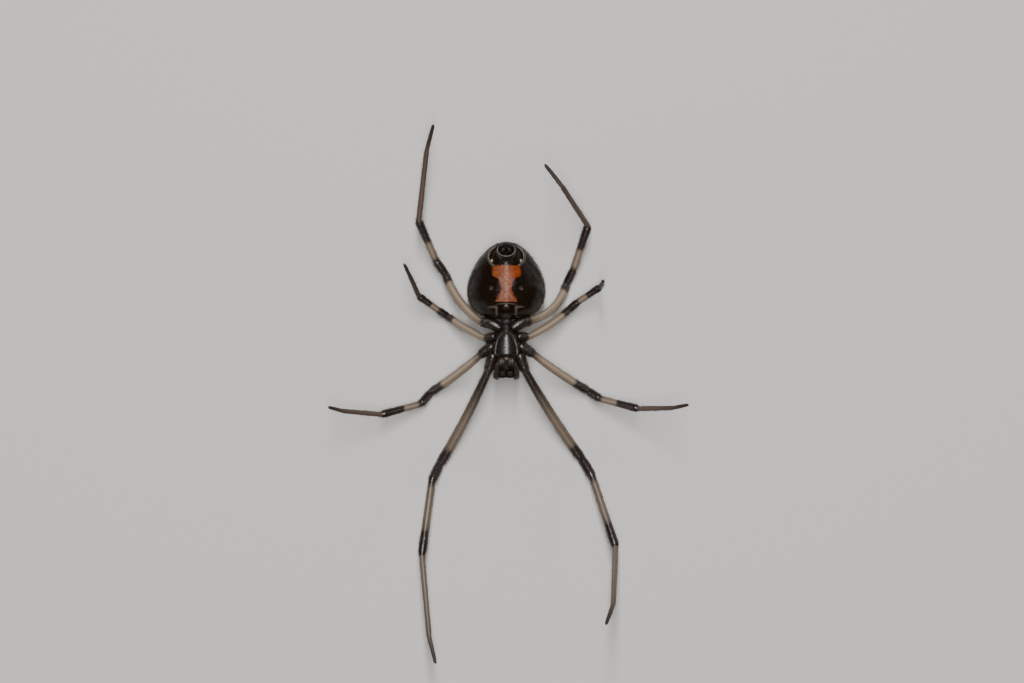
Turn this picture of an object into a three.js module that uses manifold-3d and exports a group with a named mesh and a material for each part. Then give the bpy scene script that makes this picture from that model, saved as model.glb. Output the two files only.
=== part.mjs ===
// A black widow spider at life size, lying on its back with its legs spread and raised, belly up.
// Millimetres, +Z up. +Z is the spider's belly side, -Y its head end and +X its own right side.
import * as THREE from "three";
import { mergeVertices } from "three/addons/utils/BufferGeometryUtils.js";
import Module from "manifold-3d";

const wasm = await Module();
wasm.setup();

// Clearances and fineness
const gap = 0.12; // between touching pieces
const weldDistance = 1e-4;
const overshoot = 0.35; // how far a leg segment runs past its joints before it is mitred
const limbSides = 12;
const footSides = 10;

// Abdomen: a blunt egg, broadest near the waist, lying on its back
const abdomen = {
  frontY: 0.22,
  length: 5.17,
  halfWidth: 2.6,
  bellyHeight: 2.36,
  backHeight: 2.56,
  axisZ: 2.44,
  frontLift: 0.52,
  rearLift: 0.88,
  broadest: 0.45, // share of the length where the axis is lowest
  skew: 0.697, // below 1 moves the broadest place towards the waist
};

// Carapace: the shield and the core of the front body
const carapace = {
  frontY: -3.42,
  length: 3.2,
  headHalfWidth: 0.9,
  shoulderExtra: 0.68,
  shoulderFrom: 0.25,
  shoulderTo: 0.72,
  bellyHeight: 0.74,
  backHeight: 0.86,
  marginZ: 2.78,
  skew: 0.8,
};

const sternum = {
  frontY: -2.2,
  length: 1.64,
  halfWidth: 0.81,
  dome: 0.3,
  rimZ: 3.62,
  taper: 2.2, // how soon it widens from its rear end
  squareness: 20, // of its front edge
};
const pedicel = { radius: 0.24, fromY: -0.6, toY: 0.6, z: 3.12 };

const labium = { centre: [0, -2.34, 3.7], half: [0.28, 0.2, 0.17] };
const endite = { centre: [0.35, -2.56, 3.66], half: [0.2, 0.4, 0.22], turnDeg: 16 };

const chelicera = {
  base: [0.22, -3.08, 2.7],
  tip: [0.21, -3.38, 3.82],
  radii: [[0, 0.22], [0.4, 0.22], [0.8, 0.18], [1, 0.12]],
};
const fang = { length: 0.42, radii: [[0, 0.1], [1, 0.08], [2, 0.055], [3, 0.025]], curlDeg: 62, leanDeg: 30 };

const palp = {
  root: [0.54, -2.62, 3.5],
  knee: [0.67, -3.2, 3.0],
  wrist: [0.66, -3.52, 3.42],
  tip: [0.56, -3.56, 4.02],
  radii: [[0, 0.17], [0.5, 0.2], [1, 0.19], [1.5, 0.2], [2, 0.19], [2.6, 0.16], [3, 0.07]],
};

const eye = {
  radius: 0.085,
  sunk: 0.03, // how deep the centre lies under the shield
  clearance: 0.02,
  // x is how far out from the midline and z how high on the face each pair sits
  pairs: {
    anterior_median: { x: 0.13, z: 2.5, size: 1.1 },
    anterior_lateral: { x: 0.36, z: 2.46, size: 1.0 },
    posterior_median: { x: 0.14, z: 2.22, size: 1.05 },
    posterior_lateral: { x: 0.42, z: 2.24, size: 1.0 },
  },
};

const spinnerets = {
  at: 0.875, // share of the abdomen's length
  tiltDeg: 42, // of the cluster's axis from straight up, towards the rear
  plinthRadius: 0.56,
  plinthHeight: 0.24,
  // out and along place each pair on the plinth
  pairs: [
    { out: 0.2, along: -0.16, radius: 0.19, length: 0.5, lean: 10 },
    { out: 0.09, along: 0.03, radius: 0.1, length: 0.36, lean: 4 },
    { out: 0.21, along: 0.2, radius: 0.16, length: 0.44, lean: -8 },
  ],
  tubercle: { along: 0.4, radius: 0.17, length: 0.26 },
};

// Legs: the lengths are of coxa with trochanter, femur, patella, tibia, metatarsus and tarsus, and the radii
// are at the start, the middle and the end of a segment
const legSize = {
  1: {
    lengths: [1.28, 7.55, 1.4, 5.1, 5.5, 1.95],
    femur: [0.27, 0.34, 0.36],
    patella: 0.3,
    tibia: [0.25, 0.25, 0.3],
  },
  2: {
    lengths: [1.2, 5.0, 1.1, 2.9, 3.0, 1.3],
    femur: [0.26, 0.31, 0.31],
    patella: 0.28,
    tibia: [0.25, 0.25, 0.27],
  },
  3: {
    lengths: [0.78, 3.9, 0.9, 1.95, 2.1, 1.1],
    femur: [0.25, 0.27, 0.28],
    patella: 0.26,
    tibia: [0.25, 0.25, 0.26],
  },
  4: {
    lengths: [1.45, 4.45, 1.15, 3.4, 4.9, 1.9],
    femur: [0.25, 0.29, 0.3],
    patella: 0.27,
    tibia: [0.25, 0.25, 0.28],
  },
};
const coxaRadius = { root: 0.17, middle: 0.28, neck: 0.24, trochanter: 0.27 };
const footRadius = { start: 0.25, ankle: 0.235, tip: 0.08 };
const rootZ = 3.42;
const kneeSink = 0.05; // how much of a knee the floor cuts off as its flat

// Pose: where each leg leaves the body, then each segment's heading and climb in degrees.
// A femur with no climb of its own comes down until its knee rests on the floor.
const legRoots = { 1: [0.85, -1.97], 2: [0.85, -1.43], 3: [0.72, -0.88], 4: [0.35, -0.36] };
const rest = null;
const legPose = {
  leg_1_left: {
    heading: [-106.5, -117.5, -115, -97.5, -84.5, -76],
    climb: [-14, rest, 33, 17, 16, 23],
    bow: 0.12,
  },
  leg_1_right: {
    heading: [-71, -57.3, -59.5, -71.7, -94, -112.6],
    climb: [-14, rest, 23, 18.5, 49.5, 48],
    bow: 0.12,
  },
  leg_2_left: {
    heading: [-142.5, -143, -130, -165, 174.3, 163.4],
    climb: [-15, rest, 30, 24, 31, 44.5],
    bow: 0.08,
  },
  leg_2_right: {
    heading: [-32.5, -34, -33.7, -14.4, 2, 12],
    climb: [-14, -30.5, 31, 26, 44, 34],
    bow: 0.08,
  },
  leg_3_left: {
    heading: [-171, 149.6, 144.6, 144.6, 113, 115],
    climb: [-20, -43.5, 35, 36, 50, 27],
    bow: 0.06,
  },
  leg_3_right: {
    heading: [-1, 33.6, 41, 33.7, 60, 80],
    climb: [-20, -34, 27, 28, 84, 79],
    bow: 0.12,
  },
  leg_4_left: {
    heading: [163, 126, 124.7, 113.4, 83, 74.5],
    climb: [-10, -28, 17, 34, 19, 27],
    bow: 0.28,
  },
  leg_4_right: {
    heading: [21, 47, 63.6, 71.6, 124.9, 128.6],
    climb: [-12, rest, 34, 25, 52, 12],
    bow: 0.46,
  },
};

const colours = {
  black: { color: 0x17100b, roughness: 0.25, metalness: 0 },
  darkBrown: { color: 0x2c211b, roughness: 0.35, metalness: 0 },
  pale: { color: 0x8c7a6a, roughness: 0.4, metalness: 0 },
  brown: { color: 0x4f3f34, roughness: 0.45, metalness: 0 },
  eye: { color: 0x0b0a0a, roughness: 0.05, metalness: 0 },
};

const degrees = THREE.MathUtils.degToRad;
const up = new THREE.Vector3(0, 0, 1);

// A closed three.js geometry as a solid that can be joined and cut
function solidOf(geometry) {
  const bare = new THREE.BufferGeometry();
  bare.setAttribute("position", geometry.getAttribute("position"));
  bare.setIndex(geometry.getIndex());
  const merged = mergeVertices(bare, weldDistance);
  const corners = merged.index.array;
  const triVerts = [];
  for (let i = 0; i < corners.length; i += 3) {
    const [a, b, c] = [corners[i], corners[i + 1], corners[i + 2]];
    if (a !== b && b !== c && c !== a) triVerts.push(a, b, c);
  }
  const mesh = new wasm.Mesh({
    numProp: 3,
    vertProperties: merged.attributes.position.array,
    triVerts: new Uint32Array(triVerts),
  });
  return new wasm.Manifold(mesh);
}

function geometryOf(solid) {
  const { vertProperties, triVerts } = solid.getMesh();
  return new THREE.BufferGeometry()
    .setAttribute("position", new THREE.BufferAttribute(new Float32Array(vertProperties), 3))
    .setIndex(new THREE.BufferAttribute(new Uint32Array(triVerts), 1));
}

const largestOf = (solid) => solid.decompose().reduce((best, s) => (s.volume() > best.volume() ? s : best));
const joined = (solids) => solids.reduce((all, s) => all.add(s));
const cutBy = (solid, others) => others.reduce((left, other) => left.subtract(other), solid);

// A unit sphere's points are moved by place(share, angle): share runs along the body from one pole to the
// other, and angle goes round it from +X through +Z.
function shapedSphere(place, around, along) {
  const geometry = new THREE.SphereGeometry(1, around, along);
  const points = geometry.getAttribute("position");
  const p = new THREE.Vector3();
  for (let i = 0; i < points.count; i++) {
    p.fromBufferAttribute(points, i);
    const share = THREE.MathUtils.clamp((1 - p.y) / 2, 0, 1);
    points.setXYZ(i, ...place(share, Math.atan2(p.z, p.x)));
  }
  return solidOf(geometry);
}

// How wide a blunt egg is at a share of its length, as a part of its greatest width
const eggWidth = (share, skew) => Math.sqrt(Math.max(Math.sin(Math.PI * share ** skew), 0));
const onSide = (angle, belly, back) => (Math.sin(angle) > 0 ? belly : back) * Math.sin(angle);

function abdomenPoint(share, angle, grow = 0) {
  const b = abdomen;
  const width = eggWidth(share, b.skew);
  const lift = share < b.broadest
    ? b.frontLift * (1 - share / b.broadest) ** 2
    : b.rearLift * ((share - b.broadest) / (1 - b.broadest)) ** 2;
  const y = b.frontY + b.length * share + grow * (2 * share - 1);
  return [
    (b.halfWidth + grow) * width * Math.cos(angle),
    y,
    b.axisZ + lift + onSide(angle, b.bellyHeight + grow, b.backHeight + grow) * width,
  ];
}

function carapacePoint(share, angle, grow = 0) {
  const c = carapace;
  const width = eggWidth(share, c.skew);
  const shoulder = THREE.MathUtils.smoothstep(share, c.shoulderFrom, c.shoulderTo);
  return [
    (c.headHalfWidth + c.shoulderExtra * shoulder + grow) * width * Math.cos(angle),
    c.frontY + c.length * share + grow * (2 * share - 1),
    c.marginZ + onSide(angle, c.bellyHeight + grow, c.backHeight + grow) * width,
  ];
}

// The sternum is a shield, broad and square in front and narrowing to a round end between the hind legs
function sternumPoint(share, angle, grow = 0) {
  const s = sternum;
  const fromRear = 1 - share;
  const width = Math.sqrt(1 - share ** s.taper) * Math.max(1 - fromRear ** s.squareness, 0) ** 0.4;
  return [
    (s.halfWidth + grow) * width * Math.cos(angle),
    s.frontY + s.length * share + grow * (2 * share - 1),
    s.rimZ + onSide(angle, s.dome + grow, s.dome + grow) * width,
  ];
}

// The sphere's first pole is at +Y and a body's share starts at its -Y end, so the share is turned round
const lofted = (point, around, along, grow = 0) =>
  shapedSphere((share, angle) => point(1 - share, angle, grow), around, along);

function ball(centre, half, turnDeg = 0, around = 16, along = 10) {
  const geometry = new THREE.SphereGeometry(1, around, along).scale(...half).rotateZ(degrees(turnDeg));
  return solidOf(geometry.translate(...centre));
}

// A round limb along a line of points. stations are [place, radius], where place 1.5 is half way from point 1
// to point 2. past makes it run on beyond its first and last points, and bowBy swings its middle aside.
function limb(points, stations, sides, { past = [0, 0], bowBy = new THREE.Vector3() } = {}) {
  const line = points.map((p) => (Array.isArray(p) ? new THREE.Vector3(...p) : p));
  const spans = line.slice(1).map((p, i) => p.clone().sub(line[i]));
  const ways = spans.map((span) => span.clone().normalize());
  const turns = [new THREE.Quaternion().setFromUnitVectors(new THREE.Vector3(0, 1, 0), ways[0])];
  ways.slice(1).forEach((way, i) => {
    turns.push(new THREE.Quaternion().setFromUnitVectors(ways[i], way).multiply(turns[i]));
  });
  const ring = stations.map(([place, radius]) => new THREE.Vector2(radius, place));
  if (past[0]) ring.unshift(new THREE.Vector2(ring[0].x, -past[0] / spans[0].length()));
  if (past[1]) ring.push(new THREE.Vector2(ring.at(-1).x, ring.at(-1).y + past[1] / spans.at(-1).length()));
  const profile = [new THREE.Vector2(0, ring[0].y), ...ring, new THREE.Vector2(0, ring.at(-1).y)];
  const geometry = new THREE.LatheGeometry(profile, sides);
  const vertices = geometry.getAttribute("position");
  const p = new THREE.Vector3();
  for (let i = 0; i < vertices.count; i++) {
    p.fromBufferAttribute(vertices, i);
    const place = p.y;
    const span = THREE.MathUtils.clamp(Math.floor(place), 0, spans.length - 1);
    const atBend = span > 0 && Math.abs(place - span) < 1e-6;
    const turn = atBend ? turns[span].clone().slerp(turns[span - 1], 0.5) : turns[span];
    const share = THREE.MathUtils.clamp(place / spans.length, 0, 1);
    p.setY(0).applyQuaternion(turn).add(line[span]).addScaledVector(spans[span], place - span);
    p.addScaledVector(bowBy, 4 * share * (1 - share));
    vertices.setXYZ(i, p.x, p.y, p.z);
  }
  return solidOf(geometry);
}

// Keeps what lies on the far side of a plane across a joint, a half gap clear of it
const beyond = (solid, joint, normal) => solid.trimByPlane(normal.toArray(), normal.dot(joint) + gap / 2);
const before = (solid, joint, normal) => beyond(solid, joint, normal.clone().negate());
const aboveFloor = (solid) => solid.trimByPlane([0, 0, 1], 0);

const direction = (headingDeg, climbDeg) =>
  new THREE.Vector3(1, 0, 0)
    .applyAxisAngle(new THREE.Vector3(0, -1, 0), degrees(climbDeg))
    .applyAxisAngle(up, degrees(headingDeg));

// The joints of a leg from its root to its tip, and the direction of each segment
function legLine(name) {
  const pair = name[4];
  const side = name.endsWith("left") ? -1 : 1;
  const { heading, climb } = legPose[name];
  const { lengths, femur } = legSize[pair];
  const joints = [new THREE.Vector3(side * legRoots[pair][0], legRoots[pair][1], rootZ)];
  const directions = [];
  lengths.forEach((length, i) => {
    const start = joints[i];
    const toFloor = THREE.MathUtils.radToDeg(Math.asin((femur[2] - kneeSink - start.z) / length));
    directions.push(direction(heading[i], climb[i] ?? toFloor));
    joints.push(start.clone().addScaledVector(directions[i], length));
  });
  return { pair, side, joints, directions };
}

// Radii along each segment
function legStations({ femur, patella, tibia }) {
  const c = coxaRadius;
  const f = footRadius;
  return {
    coxa: [
      [0, c.root],
      [0.3, c.middle],
      [0.6, c.middle],
      [0.72, c.neck],
      [0.88, c.trochanter],
      [1, c.trochanter],
    ],
    femur: [
      [0, femur[0] * 0.92],
      [0.12, femur[0]],
      [0.45, femur[1]],
      [0.82, femur[1]],
      [0.95, femur[2]],
      [1, femur[2]],
    ],
    patella: [[0, patella * 0.95], [0.5, patella], [1, patella * 0.9]],
    tibia: [[0, tibia[0]], [0.45, tibia[1]], [0.86, tibia[2]], [1, tibia[2] * 0.94]],
    tarsus: [
      [0, f.start],
      [0.9, f.ankle],
      [1, f.ankle * 1.04],
      [1.1, f.ankle],
      [1.6, f.ankle * 0.8],
      [1.95, f.tip * 1.3],
      [2, f.tip],
    ],
  };
}

// One leg as five solids. Its foot is the metatarsus and the tarsus in one, bent where they meet.
function legSolids(name) {
  const { pair, side, joints, directions } = legLine(name);
  const stations = legStations(legSize[pair]);
  const sideways = directions[1].clone().cross(up).normalize().multiplyScalar(side * legPose[name].bow);
  const between = (i) => [joints[i], joints[i + 1]];
  const both = [overshoot, overshoot];
  const bars = {
    coxa: limb(between(0), stations.coxa, limbSides, { past: [0, overshoot] }),
    femur: limb(between(1), stations.femur, limbSides, { past: both, bowBy: sideways }),
    patella: limb(between(2), stations.patella, limbSides, { past: both }),
    tibia: limb(between(3), stations.tibia, limbSides, { past: both }),
    tarsus: limb(joints.slice(4), stations.tarsus, footSides, { past: [overshoot, 0] }),
  };
  // A mitre plane at each joint halves the angle between the two segments that meet there
  const mitres = directions.slice(1).map((next, i) => next.clone().add(directions[i]).normalize());
  return Object.fromEntries(Object.entries(bars).map(([segment, whole], i) => {
    const started = i > 0 ? beyond(whole, joints[i], mitres[i - 1]) : whole;
    const ended = i < 4 ? before(started, joints[i + 1], mitres[i]) : started;
    return [segment, largestOf(aboveFloor(ended))];
  }));
}

function spinneretSolid(grownAbdomen) {
  const s = spinnerets;
  const seat = new THREE.Vector3(...abdomenPoint(s.at, Math.PI / 2));
  const axis = up.clone().applyAxisAngle(new THREE.Vector3(-1, 0, 0), degrees(s.tiltDeg));
  const along = new THREE.Vector3(1, 0, 0).cross(axis).negate();
  const from = (out, forward, height) => {
    const place = seat.clone().setX(out);
    return place.addScaledVector(along, forward).addScaledVector(axis, height);
  };
  const cone = (out, forward, radius, length, leanDeg) => {
    const base = from(out, forward, -0.1);
    const lean = axis.clone().applyAxisAngle(new THREE.Vector3(1, 0, 0), degrees(leanDeg));
    const tip = base.clone().addScaledVector(lean, s.plinthHeight + length).setX(base.x * 0.8);
    return limb([base, tip], [[0, radius], [0.6, radius], [0.85, radius * 0.75], [1, radius * 0.4]], 8);
  };
  const r = s.plinthRadius;
  const plinth = limb([from(0, 0, -0.5), from(0, 0, s.plinthHeight)],
    [[0, r * 1.1], [0.6, r * 1.08], [0.9, r * 0.95], [1, r * 0.8]], 18);
  const cones = s.pairs.flatMap(({ out, along: forward, radius, length, lean }) =>
    [-1, 1].map((side) => cone(side * out, forward, radius, length, lean)));
  cones.push(cone(0, s.tubercle.along, s.tubercle.radius, s.tubercle.length, -20));
  return largestOf(joined([plinth, ...cones]).subtract(grownAbdomen));
}

const mirrored = (points, side) => points.map(([x, y, z]) => [side * x, y, z]);

// A fang is a short hook at the chelicera's tip, bent inwards and back
function fangSolid(side) {
  const [x, y, z] = chelicera.tip;
  const points = [new THREE.Vector3(side * x, y, z - 0.1)];
  for (let i = 0; i < 3; i++) {
    const curl = degrees((fang.curlDeg * (i + 0.5)) / 3);
    const lean = degrees(fang.leanDeg);
    const inwards = -side * Math.sin(curl) * Math.sin(lean);
    const way = new THREE.Vector3(inwards, Math.sin(curl) * Math.cos(lean), Math.cos(curl));
    points.push(points[i].clone().addScaledVector(way, fang.length / 3));
  }
  return limb(points, fang.radii, 8);
}

function cheliceraSolid(side, keepClear) {
  const trunk = limb(mirrored([chelicera.base, chelicera.tip], side), chelicera.radii, 14);
  const ownHalf = trunk.add(fangSolid(side)).trimByPlane([side, 0, 0], gap / 2);
  return largestOf(cutBy(ownHalf, keepClear));
}

function palpSolid(side, keepClear) {
  const line = mirrored([palp.root, palp.knee, palp.wrist, palp.tip], side);
  return largestOf(cutBy(limb(line, palp.radii, footSides), keepClear));
}

// Where a point at x and z on the face meets the shield, found by walking in from the front
function facePoint(x, z) {
  const c = carapace;
  const inside = (share) => {
    const [w, y] = carapacePoint(share, 0);
    const h = (z > c.marginZ ? c.bellyHeight : c.backHeight) * eggWidth(share, c.skew);
    return { y, in: (x / w) ** 2 + ((z - c.marginZ) / h) ** 2 < 1 };
  };
  let [low, high] = [1e-4, 0.5];
  for (let i = 0; i < 40; i++) {
    const middle = (low + high) / 2;
    if (inside(middle).in) high = middle;
    else low = middle;
  }
  return new THREE.Vector3(x, inside(high).y, z);
}

function eyePlaces() {
  const faceCentre = new THREE.Vector3(0, carapace.frontY + 1, carapace.marginZ);
  return Object.entries(eye.pairs).flatMap(([row, { x, z, size }]) =>
    [-1, 1].map((side) => {
      const place = facePoint(x, z).multiply(new THREE.Vector3(side, 1, 1));
      const inward = faceCentre.clone().sub(place).normalize();
      const name = `eye_${row}_${side < 0 ? "left" : "right"}`;
      return { name, centre: place.addScaledVector(inward, eye.sunk), radius: eye.radius * size };
    }));
}

const spider = new THREE.Group();
spider.name = "black_widow_spider";

function addNode(name, solid, look) {
  const mesh = new THREE.Mesh(geometryOf(solid), new THREE.MeshStandardMaterial(colours[look]));
  mesh.name = name;
  spider.add(mesh);
}

const grownCarapace = lofted(carapacePoint, 32, 22, gap);
const grownSternum = lofted(sternumPoint, 24, 14, gap);
const grownAbdomen = lofted(abdomenPoint, 32, 24, gap);
const eyes = eyePlaces();

addNode("abdomen", aboveFloor(lofted(abdomenPoint, 40, 30)), "black");
addNode("spinnerets", spinneretSolid(grownAbdomen), "black");

const sockets = eyes.map((e) => ball(e.centre.toArray(), Array(3).fill(e.radius + eye.clearance), 0, 10, 8));
addNode("carapace", cutBy(lofted(carapacePoint, 32, 22), sockets), "darkBrown");
eyes.forEach((e) => addNode(e.name, ball(e.centre.toArray(), Array(3).fill(e.radius), 0, 10, 6), "eye"));

const waist = (grow) => {
  const r = pedicel.radius + grow;
  return limb([[0, pedicel.fromY, pedicel.z], [0, pedicel.toY, pedicel.z]], [[0, r], [1, r]], 14);
};
addNode("pedicel", largestOf(cutBy(waist(0), [grownCarapace, grownAbdomen, grownSternum])), "darkBrown");
addNode("sternum", largestOf(lofted(sternumPoint, 26, 14).subtract(grownCarapace)), "black");

const lookOf = { coxa: "darkBrown", femur: "pale", patella: "black", tibia: "pale", tarsus: "brown" };
const bodyForms = [grownCarapace, grownSternum, grownAbdomen, waist(gap)];
Object.keys(legPose).forEach((name) => {
  const pieces = legSolids(name);
  pieces.coxa = largestOf(cutBy(pieces.coxa, bodyForms));
  Object.entries(pieces).forEach(([segment, solid]) => addNode(`${name}_${segment}`, solid, lookOf[segment]));
});

const lips = (grow) => {
  const lobe = ({ centre, half, turnDeg = 0 }, side) =>
    ball(mirrored([centre], side)[0], half.map((h) => h + grow), side * turnDeg, 14, 8);
  return joined([lobe(labium, 1), lobe(endite, -1), lobe(endite, 1)]);
};
addNode("mouthparts", largestOf(cutBy(lips(0), [grownCarapace, grownSternum])), "darkBrown");
[-1, 1].forEach((side) => {
  const word = side < 0 ? "left" : "right";
  addNode(`chelicera_${word}`, cheliceraSolid(side, [grownCarapace, lips(gap)]), "black");
  addNode(`pedipalp_${word}`, palpSolid(side, [grownCarapace, lips(gap)]), "darkBrown");
});

// The part's origin is on the floor, under the middle of its outline
const box = new THREE.Box3().setFromObject(spider);
const middle = box.getCenter(new THREE.Vector3());
spider.position.set(-middle.x, -middle.y, 0);

export default spider;
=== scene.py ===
import math

import bpy
import numpy as np
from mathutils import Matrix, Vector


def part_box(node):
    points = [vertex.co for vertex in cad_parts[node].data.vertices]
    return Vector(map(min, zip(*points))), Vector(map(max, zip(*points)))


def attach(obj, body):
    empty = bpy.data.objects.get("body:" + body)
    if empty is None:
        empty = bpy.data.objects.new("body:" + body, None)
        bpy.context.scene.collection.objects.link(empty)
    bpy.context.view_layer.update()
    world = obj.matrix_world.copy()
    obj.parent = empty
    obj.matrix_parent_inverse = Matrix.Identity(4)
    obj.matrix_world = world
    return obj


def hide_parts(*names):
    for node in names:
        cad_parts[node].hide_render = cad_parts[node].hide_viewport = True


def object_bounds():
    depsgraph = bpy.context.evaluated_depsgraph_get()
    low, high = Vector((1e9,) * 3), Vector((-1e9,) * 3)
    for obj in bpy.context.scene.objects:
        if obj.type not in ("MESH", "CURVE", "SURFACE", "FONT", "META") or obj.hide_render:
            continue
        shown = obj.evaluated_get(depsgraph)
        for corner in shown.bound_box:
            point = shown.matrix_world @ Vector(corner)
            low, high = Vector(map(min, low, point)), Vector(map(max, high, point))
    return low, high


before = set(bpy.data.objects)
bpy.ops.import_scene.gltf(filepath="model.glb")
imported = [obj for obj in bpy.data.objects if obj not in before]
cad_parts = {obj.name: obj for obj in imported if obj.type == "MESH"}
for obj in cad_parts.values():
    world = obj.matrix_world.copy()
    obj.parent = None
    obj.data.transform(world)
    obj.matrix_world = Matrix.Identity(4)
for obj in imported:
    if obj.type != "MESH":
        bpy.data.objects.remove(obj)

cadBox = [list(corner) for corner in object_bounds()]
mm = 0.001
seeded = np.random.default_rng(11)

# Shapes are worked out in millimetres with the spider's middle line on x 0, and moved to the part's place at
# the end. The abdomen's solid starts at abdomenFront on that line, so its box gives the move.
abdomenFront = 0.22
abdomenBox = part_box("abdomen")
move = np.array([(abdomenBox[0][0] + abdomenBox[1][0]) / 2, abdomenBox[0][1] - abdomenFront * mm, 0.0])
lowest = (np.array(cadBox[0]) - move) / mm
highest = (np.array(cadBox[1]) - move) / mm
up = np.array([0.0, 0.0, 1.0])
acrossBody = np.array([1.0, 0.0, 0.0])
fullTurn = 2 * np.pi
sideName = {-1: "left", 1: "right"}


# Mesh helpers. A form is (points, quads, triangles, along), where along is a UV pair for each point.

def unit(v):
    # a vector over its own length
    return v / np.maximum(np.linalg.norm(v, axis=-1, keepdims=True), 1e-12)


def smoothStep(x, start, end):
    # 3 t^2 - 2 t^3, where t runs from 0 to 1 between start and end
    t = np.clip((x - start) / (end - start), 0, 1)
    return t * t * (3 - 2 * t)


def hump(x, middle, width):
    # a bell: e to the minus square of the distance from its middle in widths
    return np.exp(-((x - middle) / width) ** 2)


def ringFaces(rows, around):
    # rings of points joined by quads, each end closed by a fan to its pole, which are the last two points
    r, a = np.meshgrid(np.arange(rows - 1), np.arange(around), indexing="ij")
    b = (a + 1) % around
    near, far = r * around, (r + 1) * around
    quads = np.stack([near + a, near + b, far + b, far + a], -1).reshape(-1, 4)
    k = np.arange(around)
    n = (k + 1) % around
    first, last = rows * around, rows * around + 1
    top = (rows - 1) * around
    fans = np.concatenate([np.stack([n, k, np.full(around, first)], -1),
                           np.stack([top + k, top + n, np.full(around, last)], -1)])
    return quads, fans


def outward(points, quads, tris):
    # six times the signed volume is negative where the faces point in, and then they are turned round
    corners = np.concatenate([quads[:, [0, 1, 2]], quads[:, [0, 2, 3]], tris])
    p = points - points.mean(0)
    volume = np.einsum("ij,ij->", p[corners[:, 0]], np.cross(p[corners[:, 1]], p[corners[:, 2]]))
    return (quads, tris) if volume > 0 else (quads[:, ::-1], tris[:, ::-1])


def roundForm(surface, rows, around):
    # surface(share, angle) on a grid: share runs from pole to pole, closer at both, and angle goes round
    share = (1 - np.cos(np.pi * np.arange(1, rows + 1) / (rows + 1))) / 2
    angle = fullTurn * np.arange(around) / around
    s, a = np.meshgrid(share, angle, indexing="ij")
    body = surface(s, a).reshape(-1, 3)
    poles = np.concatenate([surface(np.array([[0.0]]), np.array([[0.0]])).reshape(1, 3),
                            surface(np.array([[1.0]]), np.array([[0.0]])).reshape(1, 3)])
    points = np.concatenate([body, poles])
    along = np.concatenate([np.stack([s, a / fullTurn], -1).reshape(-1, 2), [[0, 0.5], [1, 0.5]]])
    quads, tris = outward(points, *ringFaces(rows, around))
    return points, quads, tris, along


def tubeFrames(line, side):
    # the way along a line, and two directions across it that stay square to it and close to a fixed side
    way = unit(np.gradient(line, axis=0))
    across = unit(side - (way @ side)[:, None] * way)
    return way, across, np.cross(way, across)


def tubeForm(line, radii, side, around, along=None, swell=None):
    # a ring of the given radius across each point of a line: centre + radius (cos a across + sin a upright)
    _, across, upright = tubeFrames(line, side)
    angle = fullTurn * np.arange(around) / around
    size = np.repeat(radii[:, None], around, 1)
    if swell is not None:
        size = size * swell(angle)[None, :]
    ring = (np.cos(angle)[None, :, None] * across[:, None, :]
            + np.sin(angle)[None, :, None] * upright[:, None, :])
    body = line[:, None, :] + size[:, :, None] * ring
    points = np.concatenate([body.reshape(-1, 3), line[[0, -1]]])
    if along is None:
        along = np.linspace(0, 1, len(line))
    ringMap = np.stack(np.broadcast_arrays(along[:, None], angle[None, :] / fullTurn), -1).reshape(-1, 2)
    maps = np.concatenate([ringMap, [[along[0], 0.5], [along[-1], 0.5]]])
    quads, tris = outward(points, *ringFaces(len(line), around))
    return points, quads, tris, maps


def curveThrough(points, count):
    # a Catmull-Rom curve: each span blends its four nearest points with cubic weights
    p = np.asarray(points, float)
    p = np.concatenate([[2 * p[0] - p[1]], p, [2 * p[-1] - p[-2]]])
    t = np.linspace(0, len(p) - 3 - 1e-9, count)
    i = t.astype(int)
    f = (t - i)[:, None]
    a, b, c, d = p[i], p[i + 1], p[i + 2], p[i + 3]
    return 0.5 * (2 * b + (c - a) * f + (2 * a - 5 * b + 4 * c - d) * f ** 2
                  + (3 * b - a - 3 * c + d) * f ** 3)


def softened(values, spread):
    # a running mean with bell-shaped weights, the ends held
    reach = max(int(spread * 3), 1)
    weights = hump(np.arange(-reach, reach + 1), 0, spread)
    weights /= weights.sum()
    padded = np.pad(values, [(reach, reach)] + [(0, 0)] * (values.ndim - 1), mode="edge")
    if values.ndim == 1:
        return np.convolve(padded, weights, "valid")
    return np.stack([np.convolve(padded[:, k], weights, "valid") for k in range(values.shape[1])], 1)


def radiiAlong(profile, count, spread):
    # a radius for each of count places along a piece, from (share, radius) pairs, softened
    shares, radii = np.array(profile).T
    return softened(np.interp(np.linspace(0, 1, count), shares, radii), spread)


def makePiece(name, forms, material, replaces=(), bakeMap=None):
    # joins the forms in one mesh, in metres and in the part's place
    starts = np.cumsum([0] + [len(f[0]) for f in forms])
    points = np.concatenate([f[0] for f in forms])
    points = np.clip(points, lowest, highest)  # nothing sinks into the floor or leaves the solids' box
    faces = []
    for start, form in zip(starts, forms):
        faces += (form[1] + start).tolist() + (form[2] + start).tolist()
    mesh = bpy.data.meshes.new(name)
    mesh.from_pydata((points * mm + move).tolist(), [], faces)
    corners = np.zeros(len(mesh.loops), int)
    mesh.loops.foreach_get("vertex_index", corners)
    along = np.concatenate([f[3] for f in forms])
    for uvName, pairs in (("along", along), ("OFBake", bakeMap)):
        if pairs is not None:
            layer = mesh.uv_layers.new(name=uvName)
            layer.data.foreach_set("uv", pairs[corners].astype(np.float32).ravel())
    mesh.polygons.foreach_set("use_smooth", np.ones(len(mesh.polygons), bool))
    mesh.materials.append(material)
    piece = bpy.data.objects.new(name, mesh)
    bpy.context.scene.collection.objects.link(piece)
    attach(piece, "root")
    if replaces:
        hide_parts(*replaces)
    print(name, len(points), "points")


# Materials. A Wire is one output of a node, and sums on it add Math nodes.

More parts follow.
